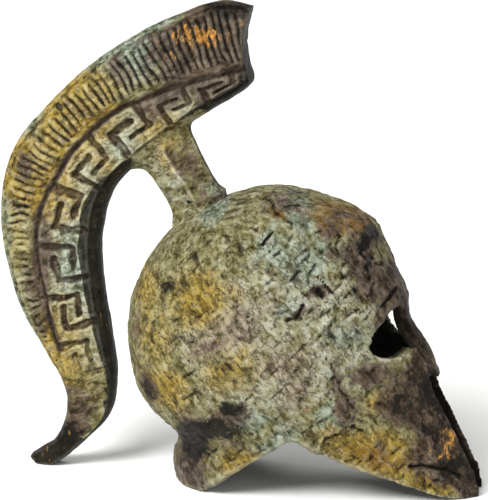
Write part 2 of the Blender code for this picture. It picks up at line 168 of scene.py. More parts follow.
# Rows up the stem: its back edge and front edge as the stations are, and where its ridge runs between them
#   back_reach back_height front_reach front_height ridge
STEM_ROWS = (
    (0.185, 0.5420, 0.368, 0.6030, 0.62),
    (0.149, 0.5830, 0.319, 0.6420, 0.58),
    (0.104, 0.6200, 0.277, 0.6870, 0.50),
    (0.061, 0.6420, 0.245, 0.7290, 0.42),
    (0.007, 0.6440, 0.261, 0.7600, 0.38),
    (-0.033, 0.6500, 0.317, 0.7860, 0.36),
)

# Half section of the stem, from its back edge 0 over its ridge 1 to its front edge 2
#   along  half_thickness
STEM_SECTION = (
    (0.00, 0.30),
    (0.35, 0.72),
    (1.00, 1.00),
    (1.60, 0.58),
    (2.00, 0.30),
)

# The Greek key's two sunk hooks on their lattice of five cells along by 4.6 across, one from the groove and
# one from the inner border
HOOKS = (
    ((0.0, -0.8), (0.0, 2.85), (1.95, 2.85)),
    ((3.22, 4.2), (3.22, 1.28), (1.2, 1.28)),
)
KEY_CELLS_ALONG = 5.0
KEY_CELLS_ACROSS = 4.6

# Where the key's units begin, and where the ribs end, as shares of the way along the plume
KEY_MARKS = (0.044, 0.1425, 0.229, 0.335, 0.442, 0.5525, 0.6415, 0.7275)
RIBS_END = 0.72

# The key's field: its start from the plume's inner edge and its end before the groove, as shares across
KEY_FIELD = (0.085, 0.035)

# Across the plume, the line along which the ribs are counted and the thin line at their outer ends
RIB_LINE = 0.75
EDGE_LINE = 0.945

# How many ribs on one side have their chances drawn, which is more than there are
MOST_RIBS = 200

# How far out the plume's two sides lie in its noise, so that they differ, in millimetres
SIDES_APART = 20

# What the way along the plume is multiplied by to place the lip round its front end
LIP_SCALE = 215

# Marks in the bowl's casting on the side that is photographed, in millimetres: the course of each line, how
# far it stands out, and how wide it is
BOWL_LINES = (
    (
        ((-4.5, -3.9, 87.8), (0.4, -6.9, 88.8), (5.0, -7.4, 89.7), (9.2, -8.9, 89.7), (10.7, -10.6, 89.0)),
        -0.55,
        0.45,
    ),
    (((-0.3, -9.1, 87.8), (1.6, -8.4, 88.6), (3.9, -7.6, 89.4)), -0.4, 0.4),
    (
        (
            (10.7, -10.6, 89.0),
            (11.3, -12.9, 87.8),
            (13.5, -14.7, 86.5),
            (15.8, -15.9, 85.4),
            (17.6, -16.4, 84.7),
        ),
        -0.45,
        0.8,
    ),
    (((14.6, -11.3, 88.5), (16.5, -10.0, 88.9), (18.9, -9.8, 88.6)), -0.5, 0.6),
    (((12.6, -19.1, 82.4), (11.0, -20.4, 80.9), (10.1, -21.4, 79.3)), -0.6, 0.7),
    (((26.6, -22.1, 70.6), (28.1, -22.0, 68.6), (29.8, -21.7, 67.1), (31.0, -21.4, 65.7)), -0.5, 0.4),
    (((31.8, -14.7, 81.2), (30.9, -16.8, 78.8), (31.6, -17.2, 76.8)), -0.5, 0.6),
    (((19.8, -25.6, 62.4), (21.2, -25.3, 63.0)), 0.9, 2.8),
    (((22.6, -25.0, 62.6), (22.0, -25.4, 60.2), (20.5, -25.9, 58.5), (18.3, -26.4, 58.2)), -0.7, 0.8),
    (((27.0, -23.0, 66.8), (27.6, -22.8, 65.2)), -0.9, 1.3),
    (((47.5, -5.0, 64.1), (46.4, -9.1, 62.7), (45.3, -11.5, 61.2), (44.4, -13.0, 60.1)), -0.9, 0.7),
    (
        (
            (48.2, -3.9, 63.2),
            (47.6, -7.6, 61.5),
            (46.8, -9.9, 59.7),
            (45.6, -11.7, 58.2),
            (44.4, -13.0, 56.8),
        ),
        0.6,
        0.8,
    ),
    (((48.4, -8.1, 53.3), (49.8, -5.4, 53.3), (51.2, -2.9, 51.9)), 0.7, 0.6),
    (((53.8, -5.6, 46.3), (55.5, -4.8, 43.5), (57.0, -4.4, 40.3), (58.5, -4.0, 36.6)), 0.4, 0.6),
    (((32.8, -21.1, 22.8), (36.2, -20.1, 24.9), (39.6, -19.0, 23.2)), -0.5, 0.6),
    (((53.6, -14.0, 11.5), (58.6, -11.8, 11.1), (63.4, -9.6, 9.6), (67.4, -7.6, 7.4)), -1.1, 0.65),
    (((57.3, -12.5, 10.0), (60.1, -11.5, 8.2), (63.6, -10.0, 6.6), (66.9, -8.2, 5.5)), 0.35, 0.8),
)

# How far to the far side these marks still reach, in millimetres
NEAR_SIDE = 2

# The middle of the head, and the rough part of the brow: reach, height and size, in millimetres
HEAD_MIDDLE = (4.0, 0.0, 44.0)
BROW = (32, 68, 14)

# The stem's ridge seen from the side, in millimetres: reach and height of its points, from plume to crown
STEM_RIDGE = ((-23.5, 101.5), (-18.5, 93.5), (-11.7, 82.7))

# Where the face's dark wax begins: height and reach of its edge, in millimetres
WAX_EDGE = (
    (0.0, 68.0),
    (6.0, 63.0),
    (11.0, 60.0),
    (16.0, 58.0),
    (21.0, 55.5),
    (25.0, 50.5),
    (28.0, 47.0),
    (33.0, 47.5),
    (38.0, 50.0),
    (44.0, 52.5),
    (47.0, 50.5),
    (52.0, 47.5),
    (60.0, 46.5),
    (68.0, 43.5),
    (76.0, 43.0),
    (84.0, 45.0),
)

# Where the thick pale layer ends on the cheek: height and reach of its edge, in millimetres
LAYER_EDGE = (
    (0.0, 26.5),
    (21.7, 27.2),
    (23.8, 34.9),
    (29.3, 36.3),
    (35.0, 33.5),
    (41.1, 31.5),
    (46.4, 29.2),
    (60.0, 30.0),
)

# Patches of finish on the bowl, in millimetres seen from the side, with the tilt in degrees
#   finish reach height long short tilt strength
BOWL_PATCHES = (
    ("pale", 14, 57, 34, 20, 30, 0.9),
    ("pale", 34, 47, 13, 12, 20, 1.1),
    ("pale", 40, 60, 7, 5, 0, 0.8),
    ("pale", 14, 36, 17, 11, 10, 0.9),
    ("pale", 30, 36, 6, 10, 10, 0.9),
    ("pale", 37, 40, 4, 6, 20, 0.7),
    ("blush", 2, 56, 14, 11, 20, 0.8),
    ("blush", 17, 44, 14, 8, 25, 0.7),
    ("blush", 21, 35, 6, 6, 0, 0.8),
    ("blush", -2, 50, 12, 4, 35, 0.8),
    ("blush", 15, 64, 6, 4, 40, 0.6),
    ("verdigris", 24, 75, 10, 9, 20, 0.7),
    ("verdigris", 22, 86, 10, 4, -20, 1.0),
    ("verdigris", 14, 78, 8, 6, 30, 0.7),
    ("verdigris", -8, 86, 6, 4, 20, 1.0),
    ("verdigris", 20, 62, 5, 4, 0, 0.6),
    ("verdigris", 31, 27, 5, 7, 0, 0.9),
    ("verdigris", 10, 27, 10, 6, 20, 0.7),
    ("verdigris", -12, 4, 8, 5, 0, 0.7),
    ("brown", -13, 6, 11, 9, 0, 1.0),
    ("brown", 17, 88, 16, 5, -15, 0.55),
    ("brown", 30, 84, 9, 5, -25, 0.6),
    ("brown", 30, 70, 12, 9, 20, 0.40),
    ("brown", 12, 19, 10, 4, 25, 0.35),
    ("verdigris", 14, 19, 12, 4, 25, 0.8),
    ("verdigris", 36, 52, 8, 5, 0, 0.6),
    ("ochre", -22, 48, 12, 22, 10, 0.55),
    ("ochre", -19, 33, 9, 9, 0, 0.8),
    ("ochre", -8, 62, 14, 10, 35, 0.8),
    ("ochre", 2, 42, 12, 8, 20, 0.7),
    ("ochre", 3, 13, 8, 5, 25, 0.8),
    ("ochre", 46, 16, 17, 7, -18, 1.2),
    ("rust", 44, 15, 13, 5, -18, 0.75),
    ("brown", 52, 13, 16, 6, -18, 0.35),
    ("ochre", 60, 6, 10, 5, -15, 1.1),
    ("ochre", 43, 33, 3, 4, 0, 0.9),
    ("ochre", 33, 22, 6, 4, 0, 0.7),
    ("ochre", -26, 60, 8, 10, 20, 0.7),
    ("rust", 31, 85, 9, 4, -25, 1.2),
    ("rust", 27, 84, 4, 3, 0, 0.7),
    ("rust", 38, 80, 3, 5, 0, 0.5),
    ("rust", 14, 86.5, 4, 1.6, -30, 1.0),
    ("brown", 38, 76, 7, 8, 0, 0.9),
    ("brown", 41, 68, 6, 8, 0, 1.0),
    ("brown", 30, 76, 3, 4, 20, 0.7),
    ("brown", 48, 60, 6, 10, -20, 1.2),
    ("brown", 27, 66, 3, 2.4, 0, 1.1),
    ("brown", 23, 59, 4, 1.6, 35, 1.0),
    ("brown", 34, 38, 2.5, 9, 8, 1.0),
    ("brown", 35, 30, 2.5, 6, -10, 1.1),
    ("brown", 42, 41, 10, 4, -10, 0.95),
    ("brown", 38, 33, 7, 9, 0, 0.55),
    ("brown", 48, 32, 9, 9, 0, 0.9),
    ("brown", 56, 34, 9, 16, -25, 1.3),
    ("brown", 61, 18, 9, 10, -30, 1.3),
    ("brown", 66, 9, 5, 6, 0, 1.1),
    ("brown", -10, 22, 8, 7, 30, 1.1),
    ("brown", 0, 27, 10, 5, 20, 1.0),
    ("brown", 2, 20, 8, 5, 0, 0.7),
    ("brown", -25, 32, 4, 7, 10, 0.9),
    ("brown", -3, 49, 8, 2, 35, 0.7),
    ("brown", 16, 30, 4, 3, 0, 0.7),
    # Painted shade: a dark brown strip along the back of the skull's outline
    ("brown", -30, 48, 3, 18, 0, 0.6),
    ("black", 38, 79, 3.4, 3.2, 30, 1.2),
    ("black", 40, 72, 2.2, 4, 0, 0.9),
    ("black", -12, 17, 7, 8, 20, 1.5),
    ("black", -5, 23, 9, 5, 10, 1.4),
    ("black", 2, 30, 5, 3, 20, 1.0),
    ("black", 4, 22, 4, 4, 0, 0.8),
    ("black", -25, 30, 3, 5, 20, 0.8),
    ("black", -11, 73, 2, 3, 30, 0.9),
    ("black", -19, 64, 3, 3, 30, 0.9),
    ("black", 5, 78, 1.5, 3, 40, 0.7),
    ("black", 10, 72, 2, 1.5, 0, 0.6),
    ("black", 57, 33, 5, 12, -25, 0.9),
    ("black", 66, 12, 5, 7, 0, 0.9),
    ("gold", 65, 18.5, 2.6, 4.2, -30, 1.0),
    ("gold", 62, 21.5, 1.6, 1.2, 0, 0.8),
    ("gold", 47, 58, 1.0, 3.0, -20, 0.4),
)

# Patches of finish on the crest, set out in the same way
CREST_PATCHES = (
    ("brown", -6, 134, 22, 17, 10, 1.7),
    ("brown", -18, 121, 20, 6, 25, 0.9),
    ("brown", -38, 128, 4, 9, 30, 0.9),
    ("brown", -67, 96, 4, 6, 0, 0.8),
    ("brown", -62, 62, 5, 22, 0, 0.9),
    ("brown", -55, 16, 10, 14, -20, 1.0),
    # Dark patina and painted shade along the plume's top edge
    ("black", -4, 146, 16, 3, 0, 0.8),
    ("black", 2, 132, 3, 14, 0, 0.9),
    ("black", -62, 4, 13, 7, 25, 1.5),
    ("black", -41, 50, 2, 40, 0, 1.2),
    ("verdigris", -32, 131, 14, 8, 35, 1.1),
    ("verdigris", -46, 118, 10, 6, 45, 0.7),
    ("verdigris", -74, 75, 4, 22, 0, 0.9),
    ("verdigris", -52, 64, 5, 16, 0, 0.9),
    ("verdigris", -36, 104, 7, 5, 45, 0.6),
    ("verdigris", -8, 90, 4, 3, 0, 0.9),
    ("pale", -21, 94, 4, 12, 28, 0.8),
    ("pale", -34, 133, 12, 5, 35, 0.8),
    ("pale", -48, 85, 4, 12, 10, 0.5),
    ("ochre", -50, 111, 15, 10, 45, 1.6),
    ("ochre", -66, 92, 10, 16, 60, 1.5),
    ("ochre", -70, 74, 6, 24, 0, 0.55),
    ("ochre", -54, 40, 9, 18, 10, 0.7),
    ("black", -56, 113, 2.4, 1.5, -25, 1.2),
    ("ochre", -26, 110, 10, 6, 30, 0.7),
    ("ochre", -22, 101, 5, 9, 24, 0.5),
    ("ochre", -56, 38, 8, 16, 10, 0.9),
    ("ochre", -42, 98, 5, 9, 50, 0.6),
    ("rust", -48, 113, 3, 2, 0, 0.9),
    ("gold", -14, 137.0, 8, 3.2, 4, 1.3),
    ("gold", -22, 131, 3, 3, 0, 0.5),
)

FINISHES = ("pale", "blush", "verdigris", "ochre", "rust", "brown", "black", "gold")

# How far the patches' edges wander, and how far the far side's patches are moved, in millimetres
PATCH_WANDER = 3.2
FAR_SIDE_SHIFT = (2.5, 1.5)

# How the brush strokes run in the side view, in degrees
BOWL_STROKES = -48
CREST_STROKES = 30
GILT_STROKES = 78

# The lamps: place in metres, size in metres and power in watts, and the place that they are turned to
LAMPS = (
    ("key", (-0.50, -0.70, 0.80), 0.45, 9.0),
    ("fill", (0.80, -0.70, 0.50), 0.60, 2.5),
    ("back", (0.10, 0.80, 0.90), 0.60, 4.0),
)
LAMP_AIM = (0, 0, 0.06)
SUN_DIRECTION = (0.45, 0.75, -1.0)
SUN_ANGLE = math.radians(35)
FLOOR_RADIUS = 3
FLOOR_CORNERS = 64

# The camera: lens and sensor in millimetres, and the reach of what it looks at in metres
LENS = 216
SENSOR_WIDTH = 36
AIM_REACH = 0.00005


def paint(red, green, blue):
    """A colour from its screen values, 0 to 255, as the linear values that a shader takes."""
    shares = np.array([red, green, blue]) / 255
    linear = np.where(shares < 0.04045, shares / 12.92, ((shares + 0.055) / 1.055) ** 2.4)
    return (*map(float, linear), 1.0)


def fade(value, low, high):
    """0 below low, 1 above high, and the curve 3t^2 - 2t^3 between them."""
    share = np.clip((value - low) / (high - low), 0, 1)
    return share * share * (3 - 2 * share)


def between(value, rise, fall):
    """1 between a rise and a fall, which are each given by the two values where they begin and end."""
    return fade(value, *rise) * (1 - fade(value, *fall))


def bell(value, width):
    """A bell curve: 1 at 0, and 1/e at this width."""
    return np.exp(-((value / width) ** 2))


def run_along(points):
    """How far it is from the first point of a course to each of its points."""
    return np.concatenate([[0], np.cumsum(np.linalg.norm(np.diff(points, axis=0), axis=1))])


def noise(points, size, seed):
    """Smooth noise from -1 to 1: random values on a cubic lattice of this size, faded between corners."""
    values = np.random.default_rng(seed).uniform(-1, 1, (32, 32, 32))
    place = points / size + 64.0
    cell = np.floor(place).astype(int)
    share = place - cell
    share = share * share * (3 - 2 * share)
    total = np.zeros(len(points))
    for corner in np.ndindex(2, 2, 2):
        weight = np.prod(np.where(corner, share, 1 - share), axis=1)
        total += weight * values[tuple(((cell + corner) % 32).T)]
    return total


def rough_noise(points, size, seed, layers=3):
    """Noise with finer noise on it: each layer has half the size and half the height of the one before."""
    total = sum(noise(points, size / 2**k, seed + k) / 2**k for k in range(layers))
    return total / (2 - 0.5 ** (layers - 1))


def combed(points, degrees, stretch):
    """Points turned in the side view by this angle and squeezed along it, so that noise runs in streaks."""
    angle = math.radians(degrees)
    along = points[:, 0] * math.cos(angle) + points[:, 2] * math.sin(angle)
    across = -points[:, 0] * math.sin(angle) + points[:, 2] * math.cos(angle)
    return np.column_stack([along / stretch, points[:, 1], across])


def through_rows(rows, at, beyond=None):
    """The rows of a table joined by a Catmull-Rom curve and read at these row numbers, whole or not."""
    rows = np.asarray(rows, float)
    before = 2 * rows[0] - rows[1]
    after = 2 * rows[-1] - rows[-2] if beyond is None else np.asarray(beyond, float)
    padded = np.vstack([before, rows, after])
    at = np.clip(np.asarray(at, float), 0, len(rows) - 1)
    first = np.minimum(at.astype(int), len(rows) - 2)
    f = (at - first)[..., None]
    p0, p1, p2, p3 = (padded[first + k] for k in range(4))
    return 0.5 * (
        2 * p1
        + (p2 - p0) * f
        + (2 * p0 - 5 * p1 + 4 * p2 - p3) * f**2
        + (3 * p1 - p0 - 3 * p2 + p3) * f**3
    )


def distance_to_course(points, course):
    """How far each point is from a course of straight pieces: the least distance to any of its pieces."""
    course = np.asarray(course, float)
    least = np.full(len(points), np.inf)
    for start, end in zip(course[:-1], course[1:]):
        way = end - start
        share = np.clip((points - start) @ way / (way @ way), 0, 1)
        least = np.minimum(least, np.linalg.norm(points - start - share[:, None] * way, axis=1))
    return least


def grid_faces(rows, columns):
    """Four-sided faces of a grid that closes on itself round its columns."""
    row, column = np.meshgrid(np.arange(rows - 1), np.arange(columns), indexing="ij")
    beside = (column + 1) % columns
    this = row * columns
    corners = (this + column, this + beside, this + columns + beside, this + columns + column)
    return np.stack(corners, -1).reshape(-1, 4).tolist()


def mirrored_cap(columns, first):
    """Faces that close a ring of near points and then their far ones in the other order, strip by strip."""
    near = np.arange(columns // 2 - 1)
    far = columns - 1 - near
    return (np.stack([near, near + 1, far - 1, far], -1) + first).tolist()


def capped_faces(rows, columns):
    """Faces of a grid that closes on itself, with its first and its last ring closed too."""
    first_cap = [face[::-1] for face in mirrored_cap(columns, 0)]
    return grid_faces(rows, columns) + first_cap + mirrored_cap(columns, (rows - 1) * columns)


def both_sides(x, half, z):
    """Rings from half sections: the near points at -half, then the far ones at +half in the other order."""
    near = np.stack([x, -half, z], -1)
    far = np.stack([x, half, z], -1)[:, ::-1]
    return np.concatenate([near, far], axis=1)


# The bowl


def bowl_section(sizes, level):
    """Height, back, front, half width, widest place and two powers of the section at a row number."""
    last = BOWL_SECTIONS[-2]
    crown = BOWL_SECTIONS[-1]
    mirrored = (last[0], last[2], last[1], -last[3], *crown[4:])
    row = through_rows(BOWL_SECTIONS, level, mirrored)
    height = row[..., 0] * sizes.bowl_height
    back = row[..., 1] * sizes.bowl_length
    front = np.maximum(row[..., 2] * sizes.bowl_length, back)
    half_width = np.maximum(row[..., 3], 0) * sizes.bowl_width / 2
    middle = back + row[..., 4] * (front - back)
    return height, back, front, half_width, middle, row[..., 5], row[..., 6]


def bowl_point(sizes, turn, level):
    """A point of the outside: half of one superellipse behind the widest place, half of another in front."""
    height, back, front, half_width, middle, front_power, back_power = bowl_section(sizes, level)
    angle = 2 * math.pi * turn
    cosine = np.cos(angle)
    sine = np.sin(angle)
    power = 2 / np.where(cosine < 0, front_power, back_power)
    reach = np.where(cosine < 0, front - middle, middle - back)
    x = middle - np.sign(cosine) * reach * np.abs(cosine) ** power
    y = half_width * np.sign(sine) * np.abs(sine) ** power
    return np.stack([x, y, height + 0 * x], -1)


def bowl_normal(sizes, turn, level):
    """The bowl's outward direction, from small steps round and up its surface."""
    step = 0.002
    top = len(BOWL_SECTIONS) - 1
    low = np.maximum(level - step * top, 0)
    high = np.minimum(level + step * top, top - 0.01)
    round_it = bowl_point(sizes, turn + step, level) - bowl_point(sizes, turn - step, level)
    up_it = bowl_point(sizes, turn, high) - bowl_point(sizes, turn, low)
    normal = np.cross(up_it, round_it)
    return normal / np.maximum(np.linalg.norm(normal, axis=-1, keepdims=True), 1e-12)


def rim_level(sizes, turn):
    """The section row number of the lower rim at a turn, found by stepping towards the rim's height."""
    reach, height = np.array(RIM).T
    levels = np.linspace(0, len(BOWL_SECTIONS) - 1, 600)
    heights = bowl_section(sizes, levels)[0]
    level = np.full(np.shape(turn), 1.0)
    for _ in range(30):
        x = bowl_point(sizes, turn, level)[..., 0]
        rim = np.interp(x / sizes.bowl_length, reach, height) * sizes.bowl_height
        level = (level + np.interp(rim, heights, levels)) / 2
    return level


def crown_height(sizes, x, y):
    """Height of the bowl's outside over a place on the crown, by halving the range of section rows."""
    low = np.full(np.shape(x), len(BOWL_SECTIONS) / 2.0)
    high = np.full(np.shape(x), len(BOWL_SECTIONS) - 1.0)
    for _ in range(40):
        level = (low + high) / 2
        _, back, front, half_width, middle, front_power, back_power = bowl_section(sizes, level)
        ahead = x > middle
        power = np.where(ahead, front_power, back_power)
        reach = np.maximum(np.where(ahead, front - middle, middle - back), 1e-9)
        aside = np.abs(y / np.maximum(half_width, 1e-9))
        inside = np.abs((x - middle) / reach) ** power + aside**power < 1
        low = np.where(inside, level, low)
        high = np.where(inside, high, level)
    return bowl_section(sizes, (low + high) / 2)[0]


def bowl_shell(sizes, rows, columns):
    """Points and faces of the shell: its outside, the same moved in by the wall, and the rim between."""
    turns = np.arange(columns) / columns
    climb = np.sin(np.linspace(0, 1, rows, endpoint=False) ** 0.85 * math.pi / 2)
    foot = rim_level(sizes, turns)
    level = foot + climb[:, None] * (len(BOWL_SECTIONS) - 1 - foot)
    turn = np.broadcast_to(turns, level.shape)
    from_face = np.abs(turn - 0.5)
    more = (sizes.nose_wall - sizes.bowl_wall) * np.clip((0.09 - from_face) / 0.09 * 2, 0, 1)
    outside = bowl_point(sizes, turn, level)
    inside = outside - (sizes.bowl_wall + more)[..., None] * bowl_normal(sizes, turn, level)
    inside[0, :, 2] = outside[0, :, 2]
    crown = bowl_point(sizes, np.array([0.0]), np.array([len(BOWL_SECTIONS) - 1.0]))
    inner_crown = crown - [[0, 0, sizes.bowl_wall]]
    points = np.vstack([outside.reshape(-1, 3), crown, inside.reshape(-1, 3), inner_crown])
    wall = grid_faces(rows, columns)
    last = (rows - 1) * columns
    ring = np.arange(columns)
    beside = (ring + 1) % columns
    wall += np.column_stack([last + ring, last + beside, np.full(columns, rows * columns)]).tolist()
    inner = rows * columns + 1
    faces = wall + [[inner + v for v in face[::-1]] for face in wall]
    faces += np.column_stack([beside, ring, inner + ring, inner + beside]).tolist()
    return points, faces


def face_prism(sizes):
    """Points and faces of a prism of the face opening, from inside the head to in front of the face."""
    half = np.array(FACE_OPENING) * [sizes.face_width / 2, sizes.face_height]
    outline = np.vstack([half, half[::-1] * [-1, 1]])
    count = len(outline)
    near = np.column_stack([np.full(count, 0.52 * sizes.bowl_length), outline])
    far = np.column_stack([np.full(count, 1.10 * sizes.bowl_length), outline])
    ring = np.arange(count)
    beside = (ring + 1) % count
    faces = np.column_stack([ring, beside, count + beside, count + ring]).tolist()
    faces += [ring[::-1].tolist(), (count + ring).tolist()]
    return np.vstack([near, far]), faces


def bowl_wax(mm):
    """Share of dark wax on the face: how far each place lies ahead of the wax's edge, which wanders."""
    edge = np.interp(mm[:, 2], *np.array(WAX_EDGE).T)
    return fade(mm[:, 0] + 2.5 * rough_noise(mm, 8.0, 7) - edge, -1.0, 2.5)


def bowl_relief(mm):
    """Height of the bowl's casting in millimetres, its share of wax, and how dark its cracks are.

    Lumps are noise of several sizes, and pillows are the parts between the zeros of streaked noise. Each line
    is a bell curve of the distance to its course. Last comes the cheek's pale layer, raised and ragged at its
    edge.
    """
    x = mm[:, 0]
    z = mm[:, 2]
    height = 0.28 * noise(mm, 10.5, 1) + 0.22 * rough_noise(mm, 5.0, 2, 2)
    height += 0.34 * rough_noise(combed(mm, 48, 2.4), 3.2, 3, 2)
    height -= 0.35 * fade(rough_noise(mm, 5.0, 4, 2), 0.50, 0.80)
    reach, level, size = BROW
    brow = np.exp(-(((x - reach) / size) ** 2) - ((z - level) / size) ** 2)
    pillows = np.abs(noise(combed(mm, 42, 1.8), 3.8, 13)) + 0.5 * np.abs(noise(combed(mm, 42, 1.5), 1.9, 14))
    height += 0.72 * (np.minimum(pillows, 0.6) - 0.35) * (1 + brow)
    height += 0.85 * brow * rough_noise(mm, 4.0, 6, 3)
    wax = bowl_wax(mm)
    height *= 1 - 0.3 * wax
    near_side = np.where(mm[:, 1] < NEAR_SIDE, 1.0, 0.0)
    cracks = np.zeros(len(mm))
    for course, stand, wide in BOWL_LINES:
        away = distance_to_course(mm + 0.5 * rough_noise(mm, 3.0, 8)[:, None], course)
        line = bell(away, wide) * near_side
        height += stand * line
        if stand < 0:
            cracks = np.maximum(cracks, line**1.6)
    edge = np.interp(z, *np.array(LAYER_EDGE).T) + 2.4 * rough_noise(mm, 7.0, 9)
    layer = fade(edge - x, -0.5, 0.5) * (1 - fade(z, 44, 52))
    return height + 0.65 * layer, wax, cracks


# The crest


def crest_scale(sizes):
    """The crest's length and the whole height, which the shares in the crest's tables are multiplied by."""
    return np.array([sizes.crest_length, sizes.bowl_height + sizes.crest_rise])


def plume_course(sizes, count=1400):
    """The plume's stations joined by a curve and read at even shares of its length down the middle."""
    rows = np.linspace(0, len(PLUME_STATIONS) - 1, 4 * count)
    table = through_rows(PLUME_STATIONS, rows)
    scale = crest_scale(sizes)
    middle = (table[:, :2] + table[:, 2:4]) / 2 * scale
    run = run_along(middle)
    along = np.linspace(0, 1, count)
    table = np.column_stack([np.interp(along, run / run[-1], column) for column in table.T])
    table[:, :2] *= scale
    table[:, 2:4] *= scale
    return along, table


def plume_shell(sizes, rows=420, across_count=40):
    """Points and faces of the plume: its half section mirrored to both sides at every station."""
    along, course = plume_course(sizes)
    pick = np.linspace(0, len(along) - 1, rows).astype(int)
    along = along[pick]
    course = course[pick]
    across = np.linspace(0, 1, across_count)
    half = np.interp(across, *np.array(PLUME_SECTION).T) * course[:, 5:6] * sizes.crest_thickness / 2
    place = course[:, None, 2:4] + (course[:, None, :2] - course[:, None, 2:4]) * across[None, :, None]
    place[..., 1] = np.maximum(place[..., 1], 0)
    scoop = sizes.end_hollow * 4 * across * (1 - across) * np.clip(1 - along[:, None] / 0.06, 0, 1) ** 2
    rings = both_sides(place[..., 0] - scoop, half, place[..., 1])
    return rings.reshape(-1, 3), capped_faces(rows, 2 * across_count)


def stem_shell(sizes, rows=60, around=24):
    """Points and faces of the stem: its half section mirrored, carried from the crown into the plume."""
    at = np.linspace(0, len(STEM_ROWS) - 1, rows)
    table = through_rows(STEM_ROWS, at)
    scale = crest_scale(sizes)
    back = table[:, :2] * scale
    front = table[:, 2:4] * scale
    ridge = table[:, 4:5]
    section = np.linspace(0, 2, around)
    share = np.where(section < 1, section * ridge, ridge + (section - 1) * (1 - ridge))
    flare = 0.16 * np.clip(1 - at / 0.55, 0, 1)[:, None] ** 2
    share = share + flare * (share - 0.5)
    half = np.interp(section, *np.array(STEM_SECTION).T) * sizes.stem_thickness / 2 * (1 + 1.5 * flare)
    place = back[:, None] + share[..., None] * (front - back)[:, None]
    rings = both_sides(place[..., 0], half, place[..., 1])
    rings[0, :, 2] = crown_height(sizes, rings[0, :, 0], rings[0, :, 1]) - 0.5 * MM
    return rings.reshape(-1, 3), capped_faces(rows, 2 * around)


def plume_coordinates(sizes, x, z):
    """Shares along and across the plume of places in the side view, its width there and the groove's place.

    It starts at the nearest middle point, then steps along until the place lies on the line across.
    """
    along, course = plume_course(sizes)
    coarse = np.arange(0, len(along), 4)
    middle = (course[coarse, :2] + course[coarse, 2:4]) / 2
    place = np.column_stack([x, z])
    nearest = np.concatenate(
        [
            ((part[:, None] - middle[None]) ** 2).sum(2).argmin(1)
            for part in np.array_split(place, max(1, len(place) // 8000))
        ]
    )
    found = along[coarse][nearest]

    def off_line(share):
        """How far each place lies off the line across at this share, its share across, and the width."""
        inner = np.column_stack([np.interp(share, along, course[:, k]) for k in (2, 3)])
        outer = np.column_stack([np.interp(share, along, course[:, k]) for k in (0, 1)])
        way = outer - inner
        width = np.linalg.norm(way, axis=1)
        way /= width[:, None]
        away = place - inner
        return away[:, 0] * way[:, 1] - away[:, 1] * way[:, 0], (away * way).sum(1) / width, width

    step = 0.004
    least_slope = 0.02
    longest_step = 0.02
    for _ in range(8):
        off, _, _ = off_line(found)
        beyond, _, _ = off_line(found + step)
        slope = (beyond - off) / step
        slope = np.where(np.abs(slope) < least_slope, np.sign(slope + 1e-12) * least_slope, slope)
        found = np.clip(found - np.clip(off / slope, -longest_step, longest_step), 0, 1)
    _, across, width = off_line(found)
    groove = np.interp(found, along, course[:, 4])
    return found, across, width, groove


def key_place(along, across, groove):
    """Where a place falls on the key's lattice: cells along from the first unit, across from the groove."""
    marks = np.array((2 * KEY_MARKS[0] - KEY_MARKS[1], *KEY_MARKS, 2 * KEY_MARKS[-1] - KEY_MARKS[-2]))
    cells = np.interp(along, marks, np.arange(-1, len(KEY_MARKS) + 1) * KEY_CELLS_ALONG)
    low = KEY_FIELD[0]
    high = groove - KEY_FIELD[1]
    return cells, (high - across) / np.maximum(high - low, 0.05) * KEY_CELLS_ACROSS


